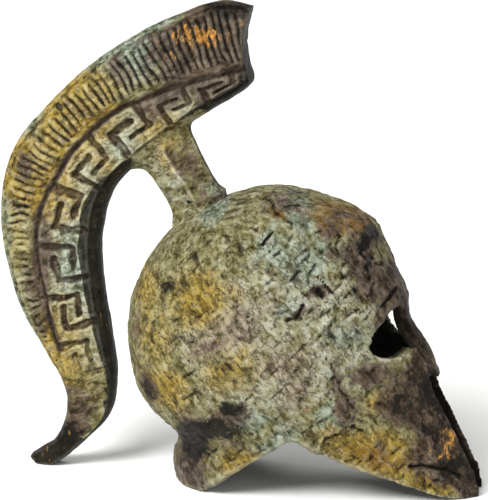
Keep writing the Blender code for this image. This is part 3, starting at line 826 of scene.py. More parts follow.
def crest_relief(sizes, points, seed=40):
    """Height of the cast relief on the plume's sides in millimetres, how deep in painted shade each place
    lies, and where painted highlight goes.

    Ribs are a raised cosine along the plume. The groove is a sunk bell curve across it. The key stands out
    where the distance to the nearest sunk hook passes a threshold. Every noise has its size in millimetres.
    """
    along, across, width, groove = plume_coordinates(sizes, points[:, 0], points[:, 2])
    course_along, course = plume_course(sizes)
    rib_line = course[:, 2:4] + RIB_LINE * (course[:, :2] - course[:, 2:4])
    gone = np.interp(along, course_along, run_along(rib_line) / MM)
    flat = np.column_stack([gone, across * width / MM, np.sign(points[:, 1]) * SIDES_APART])
    wobble = 0.42 * noise(flat, 8.0, seed) + 0.26 * noise(flat, 3.5, seed + 1)
    phase = gone / sizes.rib_pitch * MM + wobble
    number = np.clip(np.round(phase).astype(int), 0, MOST_RIBS - 1)
    number = number + np.where(points[:, 1] > 0, MOST_RIBS, 0)
    chance = np.random.default_rng(seed).uniform(0, 1, (3, 2 * MOST_RIBS))
    start = groove + 0.055 + 0.07 * chance[0, number]
    end = 0.925 - 0.10 * chance[1, number] ** 2
    strong = 0.55 + 0.45 * chance[2, number]
    strong *= 0.80 + 0.40 * noise(flat, 16.0, seed + 2) + 0.25 * noise(flat, 3.0, seed + 12)
    stroke = np.clip(0.5 + 0.62 * np.cos(2 * math.pi * phase), 0, 1) ** 0.8
    inside = between(across, (start - 0.02, start + 0.03), (end - 0.02, end + 0.03))
    ribbed = 1 - fade(along, RIBS_END - 0.03, RIBS_END + 0.01)
    ribs = sizes.rib_height / MM * strong * stroke * inside * ribbed

    away = (across - groove) * width / MM + 0.55 * noise(flat, 7.0, seed + 3)
    away = away + 0.2 * noise(flat, 2.5, seed + 6)
    broad = 1.10 + 0.35 * noise(flat, 9.0, seed + 7)
    line = bell(away, broad) * (1 - fade(along, RIBS_END + 0.005, RIBS_END + 0.03))
    cut = -sizes.groove_depth / MM * line

    cells, rows = key_place(along, across, groove)
    wander = [0.20 * noise(flat, 5.0, seed + k) + 0.10 * noise(flat, 2.2, seed + k + 4) for k in (4, 5)]
    shifted = np.column_stack([cells, rows]) + np.column_stack(wander)
    unit = np.mod(shifted[:, 0], KEY_CELLS_ALONG)
    hook = np.full(len(points), np.inf)
    for course_of_hook in HOOKS:
        for shift in (-KEY_CELLS_ALONG, 0, KEY_CELLS_ALONG):
            place = np.column_stack([unit + shift, shifted[:, 1]])
            hook = np.minimum(hook, distance_to_course(place, course_of_hook))
    blurred = 1 - 0.75 * fade(cells, 34.6, 36.5)
    in_field = between(rows, (-0.35, 0.0), (4.25, KEY_CELLS_ACROSS)) * fade(cells, -0.7, -0.2)
    in_field *= 1 - fade(cells, 37.5, 39.5)
    hook = hook + 0.10 * noise(flat, 3.0, seed + 11)
    raised = fade(hook, 0.16, 0.50)
    key = sizes.key_relief / MM * in_field * (raised - 0.35 * (1 - raised) * blurred)
    key *= 1 - (1 - blurred) * 0.6

    edge_line = -0.35 * bell((EDGE_LINE - across) * width / MM, 0.55) * (1 - fade(along, 0.75, 0.85))
    from_front = along * LIP_SCALE
    lip = 0.35 * bell(from_front - 0.8, 0.9) - 0.3 * bell(from_front - 3.0, 0.8)
    on_plume = fade(across, -0.02, 0.02)
    height = (ribs + cut + key + edge_line + lip) * on_plume
    # Masks: painted shade in the groove, the hooks and between the ribs; painted highlight with rubbed wear
    # on the key's edges and the rib crests
    shade = {
        "groove": line * on_plume,
        "hook": (1 - fade(hook, 0.12, 0.42)) * in_field * blurred * on_plume,
        "between": (1 - stroke) * inside * ribbed * on_plume * fade(strong, 0.3, 0.6),
        "across": across,
        "along": along,
        "raised": raised * in_field * on_plume,
        "outline": bell(hook - 0.62, 0.17) * in_field * blurred * on_plume,
        "rib": stroke * inside * ribbed * on_plume,
    }
    return height, shade


# Mesh work shared by both pieces


def draft_object(name, points, faces):
    """A mesh object for working with, which isn't part of the finished model."""
    mesh = bpy.data.meshes.new(name)
    mesh.from_pydata(np.asarray(points, float).tolist(), [], faces)
    obj = bpy.data.objects.new(name, mesh)
    bpy.context.scene.collection.objects.link(obj)
    return obj


def cast_in_one(name, shells, cutters, voxel, rounding):
    """One closed skin round these shells less the cutters: cut, remade in voxels and rounded."""
    points = []
    faces = []
    first = 0
    for shell_points, shell_faces in shells:
        points.append(shell_points)
        faces += [[first + v for v in face] for face in shell_faces]
        first += len(shell_points)
    draft = draft_object(name + "_draft", np.vstack(points), faces)
    helpers = [draft_object(name + "_cutter", *cutter) for cutter in cutters]
    for helper in helpers:
        cut = draft.modifiers.new("cut", "BOOLEAN")
        cut.operation = "DIFFERENCE"
        cut.solver = "EXACT"
        cut.object = helper
    remade = draft.modifiers.new("skin", "REMESH")
    remade.mode = "VOXEL"
    remade.voxel_size = voxel
    smooth = draft.modifiers.new("rounding", "SMOOTH")
    smooth.factor = 0.5
    smooth.iterations = rounding
    bpy.context.view_layer.update()
    seen = draft.evaluated_get(bpy.context.evaluated_depsgraph_get())
    mesh = bpy.data.meshes.new_from_object(seen)
    mesh.name = name
    obj = bpy.data.objects.new(name, mesh)
    bpy.context.scene.collection.objects.link(obj)
    for spare in [draft, *helpers]:
        bpy.data.objects.remove(spare, do_unlink=True)
    if len(mesh.polygons) < 1000:
        raise RuntimeError(f"{name}: the skin came out empty")
    return obj


def points_of(mesh):
    """The mesh's points as rows of x, y, z."""
    values = np.empty(len(mesh.vertices) * 3)
    mesh.vertices.foreach_get("co", values)
    return values.reshape(-1, 3)


def normals_of(mesh):
    """The outward directions at the mesh's points."""
    values = np.empty(len(mesh.vertices) * 3, np.float32)
    mesh.vertex_normals.foreach_get("vector", values)
    return values.reshape(-1, 3).astype(float)


def edges_of(mesh):
    """The mesh's edges as rows of two point numbers."""
    values = np.empty(len(mesh.edges) * 2, int)
    mesh.edges.foreach_get("vertices", values)
    return values.reshape(-1, 2)


def move_points(mesh, points):
    """Puts points back into a mesh."""
    mesh.vertices.foreach_set("co", points.astype(np.float32).ravel())
    mesh.update()


def averaged(values, edges, rounds):
    """Values moved half way to the mean of their neighbours along the mesh's edges, this many times."""
    count = np.bincount(edges.ravel(), minlength=len(values)).astype(float)
    for _ in range(rounds):
        mean = np.column_stack(
            [
                np.bincount(edges[:, 0], column[edges[:, 1]], len(values))
                + np.bincount(edges[:, 1], column[edges[:, 0]], len(values))
                for column in values.T
            ]
        )
        values = 0.5 * values + 0.5 * mean / np.maximum(count, 1)[:, None]
    return values


def store(mesh, name, values):
    """Keeps one number for each point of the mesh under this name, for its material."""
    attribute = mesh.attributes.get(name) or mesh.attributes.new(name, "FLOAT", "POINT")
    attribute.data.foreach_set("value", np.asarray(values, np.float32))


def store_hollows(mesh, rounds, reach, dull=0.0):
    """Keeps how far each point lies below or above the mean of its surroundings, 1 at this reach."""
    points = points_of(mesh)
    proud = ((points - averaged(points, edges_of(mesh), rounds)) * normals_of(mesh)).sum(1) / reach
    store(mesh, "hollow", np.clip(-proud, 0, 1))
    # Crowns are lightened in the material, as rubbed wear and painted highlight
    store(mesh, "crown", np.clip(proud, 0, 1) * (1 - dull))


def at_least(weights, finish, value):
    """Raises a finish's weight to this value wherever it is lower."""
    weights[finish] = np.maximum(weights[finish], value)


def patch_weights(points, table, seed):
    """For each finish the strongest of its patches at each point.

    A patch is its strength times exp(-distance^2), with the distance counted in the patch's own ellipse.
    """
    place = points / MM
    far_side = np.where(place[:, 1] > 0, 1.0, 0.0)
    warp = np.column_stack([rough_noise(place, 12.0, seed + k, 4) for k in (0, 10)])
    x = place[:, 0] + PATCH_WANDER * warp[:, 0] + FAR_SIDE_SHIFT[0] * far_side
    z = place[:, 2] + PATCH_WANDER * warp[:, 1] + FAR_SIDE_SHIFT[1] * far_side
    weights = {name: np.zeros(len(points)) for name in FINISHES}
    for finish, reach, height, long, short, tilt, strength in table:
        angle = math.radians(tilt)
        along = (x - reach) * math.cos(angle) + (z - height) * math.sin(angle)
        across = -(x - reach) * math.sin(angle) + (z - height) * math.cos(angle)
        here = strength * np.exp(-((along / long) ** 2) - (across / short) ** 2)
        at_least(weights, finish, here)
    return weights


def finish_piece(obj, material, node):
    """Gives a piece its material and smooth shading, and lets it stand for its CAD node."""
    obj.data.materials.clear()
    obj.data.materials.append(material)
    obj.data.polygons.foreach_set("use_smooth", np.ones(len(obj.data.polygons), bool))
    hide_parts(node)
    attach(obj, "root")


# Materials


class Patina:
    """Builds the node tree of one patinated bronze, layer on layer."""

    def __init__(self, name):
        self.material = bpy.data.materials.new(name)
        self.material.use_nodes = True
        self.tree = self.material.node_tree
        self.shader = self.tree.nodes["Principled BSDF"]
        self.place = self.node("ShaderNodeTexCoord").outputs["Object"]

    def node(self, kind, **settings):
        """A new node with these settings."""
        made = self.tree.nodes.new(kind)
        for key, value in settings.items():
            setattr(made, key, value)
        return made

    def link(self, source, target):
        """Joins a socket to an input, or sets the input to a constant."""
        if isinstance(source, bpy.types.NodeSocket):
            self.tree.links.new(source, target)
        else:
            target.default_value = source

    def work_out(self, operation, first, second=0.0, clamp=False):
        """One arithmetic step on numbers or sockets."""
        made = self.node("ShaderNodeMath", operation=operation, use_clamp=clamp)
        for socket, value in zip(made.inputs, (first, second)):
            self.link(value, socket)
        return made.outputs[0]

    def plus(self, first, second, clamp=False):
        return self.work_out("ADD", first, second, clamp)

    def minus(self, first, second):
        return self.work_out("SUBTRACT", first, second)

    def times(self, first, second):
        return self.work_out("MULTIPLY", first, second)

    def greater(self, first, second):
        return self.work_out("MAXIMUM", first, second)

    def grain(self, scale, detail=6.0, rough=0.6, turn=0.0, stretch=1.0, distort=0.0, shift=0.0):
        """Noise from 0 to 1 with so many cells a metre, turned in the side view and drawn out that way."""
        mapping = self.node("ShaderNodeMapping")
        self.link(self.place, mapping.inputs["Vector"])
        mapping.inputs["Rotation"].default_value = (0, math.radians(turn), 0)
        mapping.inputs["Location"].default_value = (shift, shift, shift)
        squeeze = self.node("ShaderNodeVectorMath", operation="MULTIPLY")
        self.link(mapping.outputs[0], squeeze.inputs[0])
        squeeze.inputs[1].default_value = (1 / stretch, 1, 1)
        made = self.node("ShaderNodeTexNoise")
        self.link(squeeze.outputs[0], made.inputs["Vector"])
        made.inputs["Scale"].default_value = scale
        made.inputs["Detail"].default_value = detail
        made.inputs["Roughness"].default_value = rough
        made.inputs["Distortion"].default_value = distort
        return made.outputs["Fac"]

    def weight(self, name):
        """A number kept in the mesh."""
        return self.node("ShaderNodeAttribute", attribute_name=name).outputs["Fac"]

    def step(self, value, low, high, floor=0.0, top=1.0):
        """A smooth rise from floor at low to top at high."""
        made = self.node("ShaderNodeMapRange", interpolation_type="SMOOTHSTEP")
        for key, number in (("From Min", low), ("From Max", high), ("To Min", floor), ("To Max", top)):
            made.inputs[key].default_value = number
        self.link(value, made.inputs["Value"])
        return made.outputs["Result"]

    def ramp(self, value, stops):
        """Colours along a scale from 0 to 1, from stops of a place and a colour each."""
        made = self.node("ShaderNodeValToRGB")
        self.link(value, made.inputs["Fac"])
        elements = made.color_ramp.elements
        for _ in range(len(stops) - 2):
            elements.new(0.5)
        for element, (at, _) in zip(elements, stops):
            element.position = at
        for element, (_, colour) in zip(elements, stops):
            element.color = colour
        return made.outputs["Color"]

    def over(self, share, below, above, blend="MIX"):
        """One colour laid over another by a share."""
        made = self.node("ShaderNodeMix", data_type="RGBA", blend_type=blend)
        made.clamp_result = True
        self.link(share, made.inputs[0])
        self.link(below, made.inputs[6])
        self.link(above, made.inputs[7])
        return made.outputs[2]


def patina_material(name, looks, strokes):
    """Bronze under wax and coloured patina.

    The ground runs with brushed noise from near black over olive and green to pale. Each finish lies over it
    where its weight plus noise passes a threshold, so that its edges are ragged. Pits, rubs and creases come
    next, then brown and black wax. These two layers also carry painted shade: in the crest's groove, between
    its ribs, along its inner edge and top, on the stem's front face and along the back of the skull. Sunk
    places are painted dark as shade, hollows are dark, and crowns, the key's edges and the rib crests are
    lightened in their own hue as rubbed wear and painted highlight. Gilt shows in strokes where it is placed,
    and the bowl's inside is laid over near black as painted shade.
    """
    p = Patina(name)
    broad = p.grain(110, detail=5)
    mid = p.grain(330, rough=0.66, shift=0.3)
    fine = p.grain(820, rough=0.74, shift=0.7)
    brushed = p.grain(560, detail=7, rough=0.66, turn=strokes, stretch=2.6, distort=0.5, shift=0.1)
    blots = p.grain(430, rough=0.62, distort=0.7, shift=1.3)
    tone = p.plus(p.times(brushed, 0.55), p.times(mid, 0.45))
    ragged = p.plus(p.times(broad, 0.30), p.times(mid, 0.40))
    ragged = p.minus(p.plus(ragged, p.times(fine, 0.30)), 0.5)

    def toned(*names):
        """Four of the colours, from the darkest tone of the brushed noise to the lightest."""
        colours = [getattr(looks, name + "_colour") for name in names]
        return p.ramp(tone, tuple(zip((0.30, 0.43, 0.54, 0.72), colours)))

    def ragged_weight(name, spread):
        """A finish's weight with the ragged noise added to it."""
        return p.plus(p.weight(name), p.times(ragged, spread))

    colour = toned("shadow", "olive", "ground", "pale")
    for finish, most, names in (
        ("pale", 0.85, ("olive", "ground", "pale", "bloom")),
        ("blush", 0.75, ("brown", "taupe", "blush", "cream")),
        ("verdigris", 0.80, ("shadow", "verdigris", "mint", "bloom")),
        ("ochre", 0.90, ("shadow", "ochre", "mustard", "ground")),
        ("rust", 0.80, ("brown", "rust", "rust", "mustard")),
    ):
        share = p.times(p.step(ragged_weight(finish, 3.4), 0.15, 0.80), most)
        colour = p.over(share, colour, toned(*names))

    pits = p.step(p.plus(p.times(fine, 0.55), p.times(brushed, 0.45)), 0.47, 0.37)
    colour = p.over(p.times(pits, 0.95), colour, looks.shadow_colour)
    rubs = p.step(p.plus(p.times(fine, 0.5), p.times(mid, 0.5)), 0.52, 0.62)
    colour = p.over(p.times(rubs, 0.50), colour, looks.pale_colour)

    def creases(scale, shift, wide):
        """Thin lines where a noise crosses its middle, which wander as cracks do."""
        away = p.minus(p.grain(scale, detail=5, turn=strokes, stretch=1.7, shift=shift), 0.5)
        return p.minus(1.0, p.step(p.work_out("ABSOLUTE", away), 0.003, wide))

    crazed = p.times(creases(240, 2.6, 0.026), p.step(broad, 0.40, 0.56))
    crazed = p.greater(crazed, p.times(creases(520, 4.1, 0.034), p.step(blots, 0.44, 0.58)))
    colour = p.over(p.times(crazed, 0.70), colour, looks.shadow_colour)

    brown = toned("black", "brown", "taupe", "blush")
    specks = p.step(p.plus(blots, p.times(p.weight("hollow"), 0.12)), 0.60, 0.70)
    brown_share = p.greater(p.step(ragged_weight("brown", 4.2), 0.35, 0.75), p.times(specks, 0.75))
    colour = p.over(p.times(brown_share, 0.92), colour, brown)
    black_share = p.step(ragged_weight("black", 3.6), 0.40, 0.80)
    colour = p.over(p.times(black_share, 0.93), colour, looks.black_colour)
    dark = p.greater(brown_share, black_share)

    # Painted shade: the key's hooks and the groove are laid over dark brown and taupe
    sunk = p.times(p.weight("sunk"), p.step(mid, 0.36, 0.62, 0.95, 0.40))
    colour = p.over(sunk, colour, p.over(p.step(fine, 0.40, 0.60), looks.brown_colour, looks.taupe_colour))
    hollow = p.step(ragged_weight("hollow", 0.8), 0.10, 0.80)
    hollow = p.times(hollow, p.minus(0.88, p.times(p.weight("sunk"), 0.45)))
    colour = p.over(hollow, colour, looks.recess_and_inside_shade_colour)
    # Crowns, the key's edges and the rib crests are lightened in their own hue, as rubbed wear and painted
    # highlight
    crown = p.step(ragged_weight("crown", 1.2), 0.20, 0.85)
    outline = p.times(p.weight("outline"), p.step(mid, 0.36, 0.56))
    light = p.greater(p.times(crown, 0.55), p.times(outline, 0.65))
    light = p.times(light, p.minus(1.0, p.times(dark, 0.62)))
    wear_and_highlight_hue = p.over(0.75, colour, colour, "SCREEN")
    colour = p.over(light, colour, p.over(0.30, wear_and_highlight_hue, looks.bloom_colour))

    glints = p.grain(760, rough=0.75, turn=GILT_STROKES, stretch=3.0, shift=2.0)
    gilt = p.plus(p.weight("gold"), p.times(p.minus(glints, 0.5), 5.0))
    gold_share = p.step(gilt, 0.62, 1.0)
    gold = p.ramp(fine, ((0.36, looks.copper_colour), (0.60, looks.gold_colour)))
    colour = p.over(gold_share, colour, gold)
    # Painted shade: the bowl's inside is laid over near black.
    colour = p.over(p.times(p.weight("inner"), 0.95), colour, looks.recess_and_inside_shade_colour)
    p.link(colour, p.shader.inputs["Base Color"])

    metal = p.plus(p.times(dark, 0.10), p.times(gold_share, 0.55), clamp=True)
    p.link(metal, p.shader.inputs["Metallic"])
    rough = p.plus(0.42, p.times(mid, 0.34))
    rough = p.minus(rough, p.times(dark, 0.16))
    rough = p.minus(rough, p.times(gold_share, 0.12))
    p.link(rough, p.shader.inputs["Roughness"])
    height = p.plus(p.times(brushed, 0.75), p.times(fine, 0.40))
    height = p.plus(height, p.times(mid, 0.6))
    height = p.minus(height, p.times(crazed, 0.16))
    bump = p.node("ShaderNodeBump")
    bump.inputs["Strength"].default_value = 0.9
    bump.inputs["Distance"].default_value = 0.0024
    p.link(height, bump.inputs["Height"])
    p.link(bump.outputs["Normal"], p.shader.inputs["Normal"])
    p.shader.inputs["Specular IOR Level"].default_value = 0.14
    return p.material


def studio_material(name, colour, roughness):
    """A plain matt finish for the studio."""
    material = bpy.data.materials.new(name)
    material.use_nodes = True
    shader = material.node_tree.nodes["Principled BSDF"]
    shader.inputs["Base Color"].default_value = colour
    shader.inputs["Roughness"].default_value = roughness
    return material


# Settings


def length(name, default, description):
    """A size in metres that a user may change."""
    return bpy.props.FloatProperty(
        name=name, default=default, description=description, unit="LENGTH", subtype="DISTANCE", precision=5
    )


def tint(name, rgb, description):
    """A colour that a user may change."""
    return bpy.props.FloatVectorProperty(
        name=name, default=paint(*rgb), description=description, subtype="COLOR", size=4, min=0, max=1
    )


def angle(name, degrees, description):
    """An angle that a user may change, from degrees."""
    return bpy.props.FloatProperty(
        name=name, default=math.radians(degrees), description=description, subtype="ANGLE"
    )


def strength(name, default, description):
    """The strength of a light that a user may change."""
    return bpy.props.FloatProperty(name=name, default=default, description=description, min=0)


class HelmetSizes(bpy.types.PropertyGroup):
    bowl_length: length("Bowl length", 0.1103, "Back of the skull to the tips of the cheek pieces")
    bowl_height: length("Bowl height", 0.0916, "Table to the top of the crown")
    bowl_width: length("Bowl width", 0.0560, "Across the temples")
    bowl_wall: length("Wall", 0.0026, "Thickness of the cast shell")
    nose_wall: length("Nose guard", 0.0042, "Thickness of the nose guard")
    face_height: length("Face height", 0.0625, "Table to the inner corners of the eyes")
    face_width: length("Face width", 0.0332, "Across the outer corners of the eyes")
    crest_length: length("Crest length", 0.0783, "Front end of the plume to the back of its curve")
    crest_rise: length("Crest rise", 0.0560, "Top of the plume above the crown")
    crest_thickness: length("Crest thickness", 0.0090, "The plume from side to side, without its relief")
    end_hollow: length("End hollow", 0.0026, "How far the plume's front end is scooped out")
    rib_pitch: length("Rib pitch", 0.0024, "From rib to rib along the plume")
    rib_height: length("Rib height", 0.0007, "How far the ribs stand out")
    groove_depth: length("Groove depth", 0.0010, "Depth of the line between the ribs and the key")
    key_relief: length("Key relief", 0.0008, "How far the Greek key stands out")
    stem_thickness: length("Stem thickness", 0.0084, "The stem from side to side")
    bowl_grain: length("Bowl mesh", 0.00074, "Fineness of the bowl's mesh")
    crest_grain: length("Crest mesh", 0.00043, "Fineness of the crest's mesh")


class HelmetColours(bpy.types.PropertyGroup):
    ground_colour: tint("Ground", (146, 142, 102), "The patina's middle green")
    olive_colour: tint("Olive", (98, 90, 46), "The patina's darker olive")
    pale_colour: tint("Pale", (180, 180, 158), "The patina's pale green")
    bloom_colour: tint("Bloom", (212, 214, 200), "The palest bloom")
    shadow_colour: tint("Shadow", (40, 34, 22), "Between brush strokes")
    blush_colour: tint("Blush", (158, 138, 118), "Pinkish brown")
    cream_colour: tint("Cream", (196, 184, 152), "Cream")
    verdigris_colour: tint("Verdigris", (84, 98, 78), "Blue-green")
    mint_colour: tint("Mint", (148, 164, 146), "Pale blue-green")
    ochre_colour: tint("Ochre", (116, 92, 28), "Yellow-brown")
    mustard_colour: tint("Mustard", (176, 148, 54), "Mustard yellow")
    rust_colour: tint("Rust", (122, 86, 24), "Orange-brown")
    brown_colour: tint("Brown", (46, 32, 24), "Purple-brown")
    taupe_colour: tint("Taupe", (100, 84, 70), "Lighter purple-brown")
    black_colour: tint("Black", (12, 8, 6), "Near-black wax")
    # Near black of the hollows, also painted as shade over the bowl's inside
    recess_and_inside_shade_colour: tint("Recess", (12, 9, 6), "Dark in the hollows")
    copper_colour: tint("Copper", (112, 68, 30), "Rubbed bronze, darker")
    gold_colour: tint("Gold", (238, 178, 92), "Rubbed bronze, lighter")


class StageSettings(bpy.types.PropertyGroup):
    floor_colour: tint("Floor", (242, 242, 240), "The floor's colour")
    sun_strength: strength("Sun", 2.6, "Strength of the broad light from above")
    room_strength: strength("Room", 0.28, "Strength of the light from all round")
    azimuth: angle("Azimuth", 12, "The camera's turn from the side view")
    elevation: angle("Elevation", 15, "The camera's height as an angle")
    distance: length("Distance", 0.900, "From the camera to what it looks at")
    aim_height: length("Aim height", 0.0715, "Height of what the camera looks at")


def centred(points, back):
    """Points moved so that the back of the skull is where the solids have it."""
    return points + [back, 0, 0]


# Operators


class HELMET_OT_bowl(bpy.types.Operator):
    """Build the bowl with its neck guard, cheek pieces and nose guard as one casting"""

    bl_idname = "helmet.bowl"
    bl_label = "Bowl"

    def execute(self, context):
        sizes = context.scene.helmet_sizes
        rows, columns = ((90, 180))
        voxel = sizes.bowl_grain * 1
        obj = cast_in_one("bronze_bowl", [bowl_shell(sizes, rows, columns)], [face_prism(sizes)], voxel, 3)
        mesh = obj.data
        normals = normals_of(mesh)
        place = centred(points_of(mesh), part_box("helmet_bowl")[0].x)
        mm = place / MM
        from_middle = mm - HEAD_MIDDLE
        outward = (normals * from_middle).sum(1) / np.linalg.norm(from_middle, axis=1)
        outside = fade(outward, -0.05, 0.25)
        height, wax, cracks = bowl_relief(mm)
        height = height * (0.25 + 0.75 * outside)
        place = place + normals * (height * MM)[:, None]
        place[:, 2] = np.maximum(place[:, 2], 0)
        move_points(mesh, place)
        store_hollows(mesh, 5, 0.20 * MM, 0.8 * wax)
        # The bowl's inside, which the material paints near black as shade
        store(mesh, "inner", 1 - outside)
        store(mesh, "outline", np.zeros(len(place)))
        store(mesh, "sunk", np.zeros(len(place)))
        weights = patch_weights(points_of(mesh), BOWL_PATCHES, seed=60)
        at_least(weights, "brown", 1.5 * wax)
        at_least(weights, "black", np.maximum(0.62 * wax, 0.85 * cracks))
        for name in ("pale", "blush", "verdigris", "ochre"):
            weights[name] *= 1 - 0.6 * wax
        for name, weight in weights.items():
            store(mesh, name, weight if name in ("brown", "black") else weight * outside)
        looks = context.scene.helmet_colours
        finish_piece(obj, patina_material("bowl_patina", looks, BOWL_STROKES), "helmet_bowl")
        return {"FINISHED"}


class HELMET_OT_crest(bpy.types.Operator):
    """Build the crest with its ribs, groove, Greek key and stem as one casting"""

    bl_idname = "helmet.crest"
    bl_label = "Crest"

    def execute(self, context):
        sizes = context.scene.helmet_sizes
        voxel = sizes.crest_grain * 1
        obj = cast_in_one("bronze_crest", [plume_shell(sizes), stem_shell(sizes)], [], voxel, 2)
        mesh = obj.data
        points = points_of(mesh)
        edges = edges_of(mesh)
        _, across, width, _ = plume_coordinates(sizes, points[:, 0], points[:, 2])
        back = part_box("helmet_bowl")[0].x
        mm = centred(points, back) / MM
        x = mm[:, 0]
        z = mm[:, 2]
        joint = bell(across * width / MM, 2.6)
        joint *= between(x, (-36, -30), (-14, -6)) * fade(z, 88, 92)
        points = points + (averaged(points, edges, 24) - points) * joint[:, None]
        move_points(mesh, points)

        normals = normals_of(mesh)
        relief, shade = crest_relief(sizes, points)
        beside = fade(np.abs(normals[:, 1]), 0.35, 0.8)
        place = centred(points, back)
        place[:, 1] += np.sign(points[:, 1]) * relief * beside * MM
        # The stem's face ahead of its ridge is painted dark brown, as patina and as painted shade
        ridge_reach, ridge_height = np.array(STEM_RIDGE[::-1]).T
        ahead = 0.84 * (x - np.interp(z, ridge_height, ridge_reach)) + 0.4 * noise(mm, 4.0, 27)
        on_stem = between(z, (83, 86), (99, 110)) * fade(shade["across"], 0.14, 0.0)
        front_patina_and_shade = on_stem * fade(ahead, -0.2, 0.7)
        ridge = on_stem * bell(ahead, 0.8)
        skin = 0.22 * rough_noise(mm, 6.0, 21) + 0.10 * noise(mm, 2.2, 22) + 0.45 * ridge * beside
        skin -= 0.30 * fade(noise(mm, 3.2, 23), 0.62, 0.9)
        place += normals * (skin * MM)[:, None]
        place[:, 2] = np.maximum(place[:, 2], 0)
        move_points(mesh, place)
        store_hollows(mesh, 6, 0.15 * MM)
        weights = patch_weights(points_of(mesh), CREST_PATCHES, seed=80)
        # Painted shade in the groove and between the ribs, laid on as brown
        at_least(weights, "brown", 0.95 * beside * shade["groove"])
        at_least(weights, "brown", 0.32 * beside * shade["between"])
        # Patina and painted shade on the stem's front face
        at_least(weights, "brown", 0.58 * front_patina_and_shade)
        # Dark patina and painted shade: a near-black band along the plume's inner edge, wider low down
        ragged = 0.022 * rough_noise(mm, 5.0, 26)
        low_down = between(shade["along"], (0.34, 0.46), (0.74, 0.80))
        inner_edge_patina_and_shade = fade(0.11 + 0.075 * low_down + ragged - shade["across"], -0.02, 0.02)
        inner_edge_patina_and_shade *= (1 - joint) * fade(z, 6, 12)
        inner_edge_patina_and_shade *= 1 - between(x, (-38, -30), (4, 8)) * (1 - fade(z, 108, 116))
        at_least(weights, "black", 1.5 * inner_edge_patina_and_shade)
        end_face = (1 - beside) * (1 - fade(shade["along"], 0.012, 0.03))
        at_least(weights, "black", 1.1 * end_face)
        outer_edge = fade(shade["across"], 0.93, 0.96) * fade(-x, 12, 24)
        outer_edge *= 1 - fade(shade["along"], 0.7, 0.8)
        for name in ("brown", "black"):
            weights[name] *= 1 - 0.8 * outer_edge
        at_least(weights, "verdigris", 0.9 * outer_edge)
        weights["gold"] *= 0.45 + 0.8 * shade["rib"]
        at_least(weights, "pale", 0.55 * shade["raised"] * beside)
        for name, weight in weights.items():
            store(mesh, name, weight)
        store(mesh, "inner", np.zeros(len(points)))
        # The key's edges and the rib crests, lightened as rubbed wear and painted highlight
        store(mesh, "outline", np.maximum(shade["outline"], 0.75 * shade["rib"] ** 3) * beside)
        store(mesh, "sunk", np.maximum(shade["hook"], 0.6 * shade["groove"]) * beside)
        looks = context.scene.helmet_colours
        finish_piece(obj, patina_material("crest_patina", looks, CREST_STROKES), "crest")
        return {"FINISHED"}


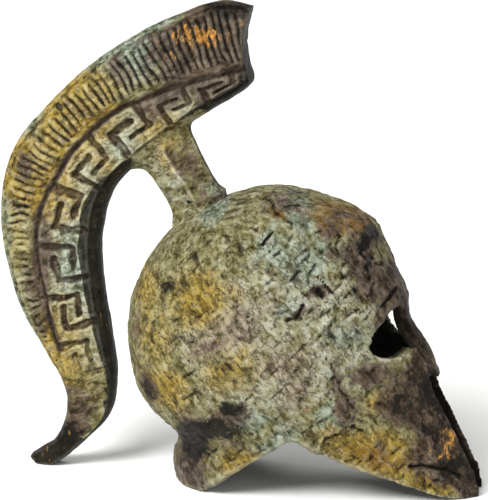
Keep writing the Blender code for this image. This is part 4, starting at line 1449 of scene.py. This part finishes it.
class HELMET_OT_stage(bpy.types.Operator):
    """Set up the pale floor, the soft lights and the camera"""

    bl_idname = "helmet.stage"
    bl_label = "Stage"

    def execute(self, context):
        stage = context.scene.helmet_stage
        around = np.linspace(0, 2 * math.pi, FLOOR_CORNERS, endpoint=False)
        corners = FLOOR_RADIUS * np.column_stack([np.cos(around), np.sin(around), 0 * around])
        floor = draft_object("floor", corners, [list(range(FLOOR_CORNERS))])
        floor.data.materials.append(studio_material("floor_paper", stage.floor_colour, 0.9))

        sun = bpy.data.lights.new("sky_panel", "SUN")
        sun.energy = stage.sun_strength
        sun.angle = SUN_ANGLE
        sky = bpy.data.objects.new("sky_panel", sun)
        sky.rotation_euler = Vector(SUN_DIRECTION).to_track_quat("-Z", "Y").to_euler()
        context.scene.collection.objects.link(sky)
        for name, place, size, power in LAMPS:
            lamp = bpy.data.lights.new(name, "AREA")
            lamp.size = size
            lamp.energy = power
            obj = bpy.data.objects.new(name, lamp)
            obj.location = place
            obj.rotation_euler = (Vector(LAMP_AIM) - Vector(place)).to_track_quat("-Z", "Y").to_euler()
            context.scene.collection.objects.link(obj)
        world = bpy.data.worlds.new("studio")
        world.use_nodes = True
        room = world.node_tree.nodes["Background"]
        room.inputs["Color"].default_value = (1, 1, 1, 1)
        room.inputs["Strength"].default_value = stage.room_strength
        context.scene.world = world
        context.scene.view_settings.view_transform = "Standard"

        turn = stage.azimuth
        rise = stage.elevation
        back = Vector((math.sin(turn) * math.cos(rise), -math.cos(turn) * math.cos(rise), math.sin(rise)))
        aim = Vector((AIM_REACH, 0, stage.aim_height))
        camera = bpy.data.cameras.new("camera")
        camera.sensor_width = SENSOR_WIDTH
        camera.sensor_fit = "AUTO"
        camera.lens = LENS
        camera.clip_start = 0.05
        camera.clip_end = 20
        viewer = bpy.data.objects.new("camera", camera)
        viewer.location = aim + back * stage.distance
        viewer.rotation_euler = (-back).to_track_quat("-Z", "Y").to_euler()
        context.scene.collection.objects.link(viewer)
        context.scene.camera = viewer
        return {"FINISHED"}


class HELMET_PT_panel(bpy.types.Panel):
    """Lists the pieces of the helmet and their settings"""

    bl_label = "Corinthian helmet"
    bl_idname = "HELMET_PT_panel"
    bl_space_type = "VIEW_3D"
    bl_region_type = "UI"
    bl_category = "Helmet"

    def draw(self, context):
        for operator in (HELMET_OT_bowl, HELMET_OT_crest, HELMET_OT_stage):
            self.layout.operator(operator.bl_idname)
        for group in (context.scene.helmet_sizes, context.scene.helmet_colours, context.scene.helmet_stage):
            box = self.layout.box()
            for name in group.__annotations__:
                box.prop(group, name)


CLASSES = (
    HelmetSizes,
    HelmetColours,
    StageSettings,
    HELMET_OT_bowl,
    HELMET_OT_crest,
    HELMET_OT_stage,
    HELMET_PT_panel,
)


def register():
    for cls in CLASSES:
        bpy.utils.register_class(cls)
    bpy.types.Scene.helmet_sizes = bpy.props.PointerProperty(type=HelmetSizes)
    bpy.types.Scene.helmet_colours = bpy.props.PointerProperty(type=HelmetColours)
    bpy.types.Scene.helmet_stage = bpy.props.PointerProperty(type=StageSettings)


def unregister():
    del bpy.types.Scene.helmet_stage
    del bpy.types.Scene.helmet_colours
    del bpy.types.Scene.helmet_sizes
    for cls in reversed(CLASSES):
        bpy.utils.unregister_class(cls)


def main():
    """Builds everything."""
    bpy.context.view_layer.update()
    register()
    bpy.ops.helmet.bowl()
    bpy.ops.helmet.crest()
    bpy.ops.helmet.stage()


if __name__ == "__main__":
    main()
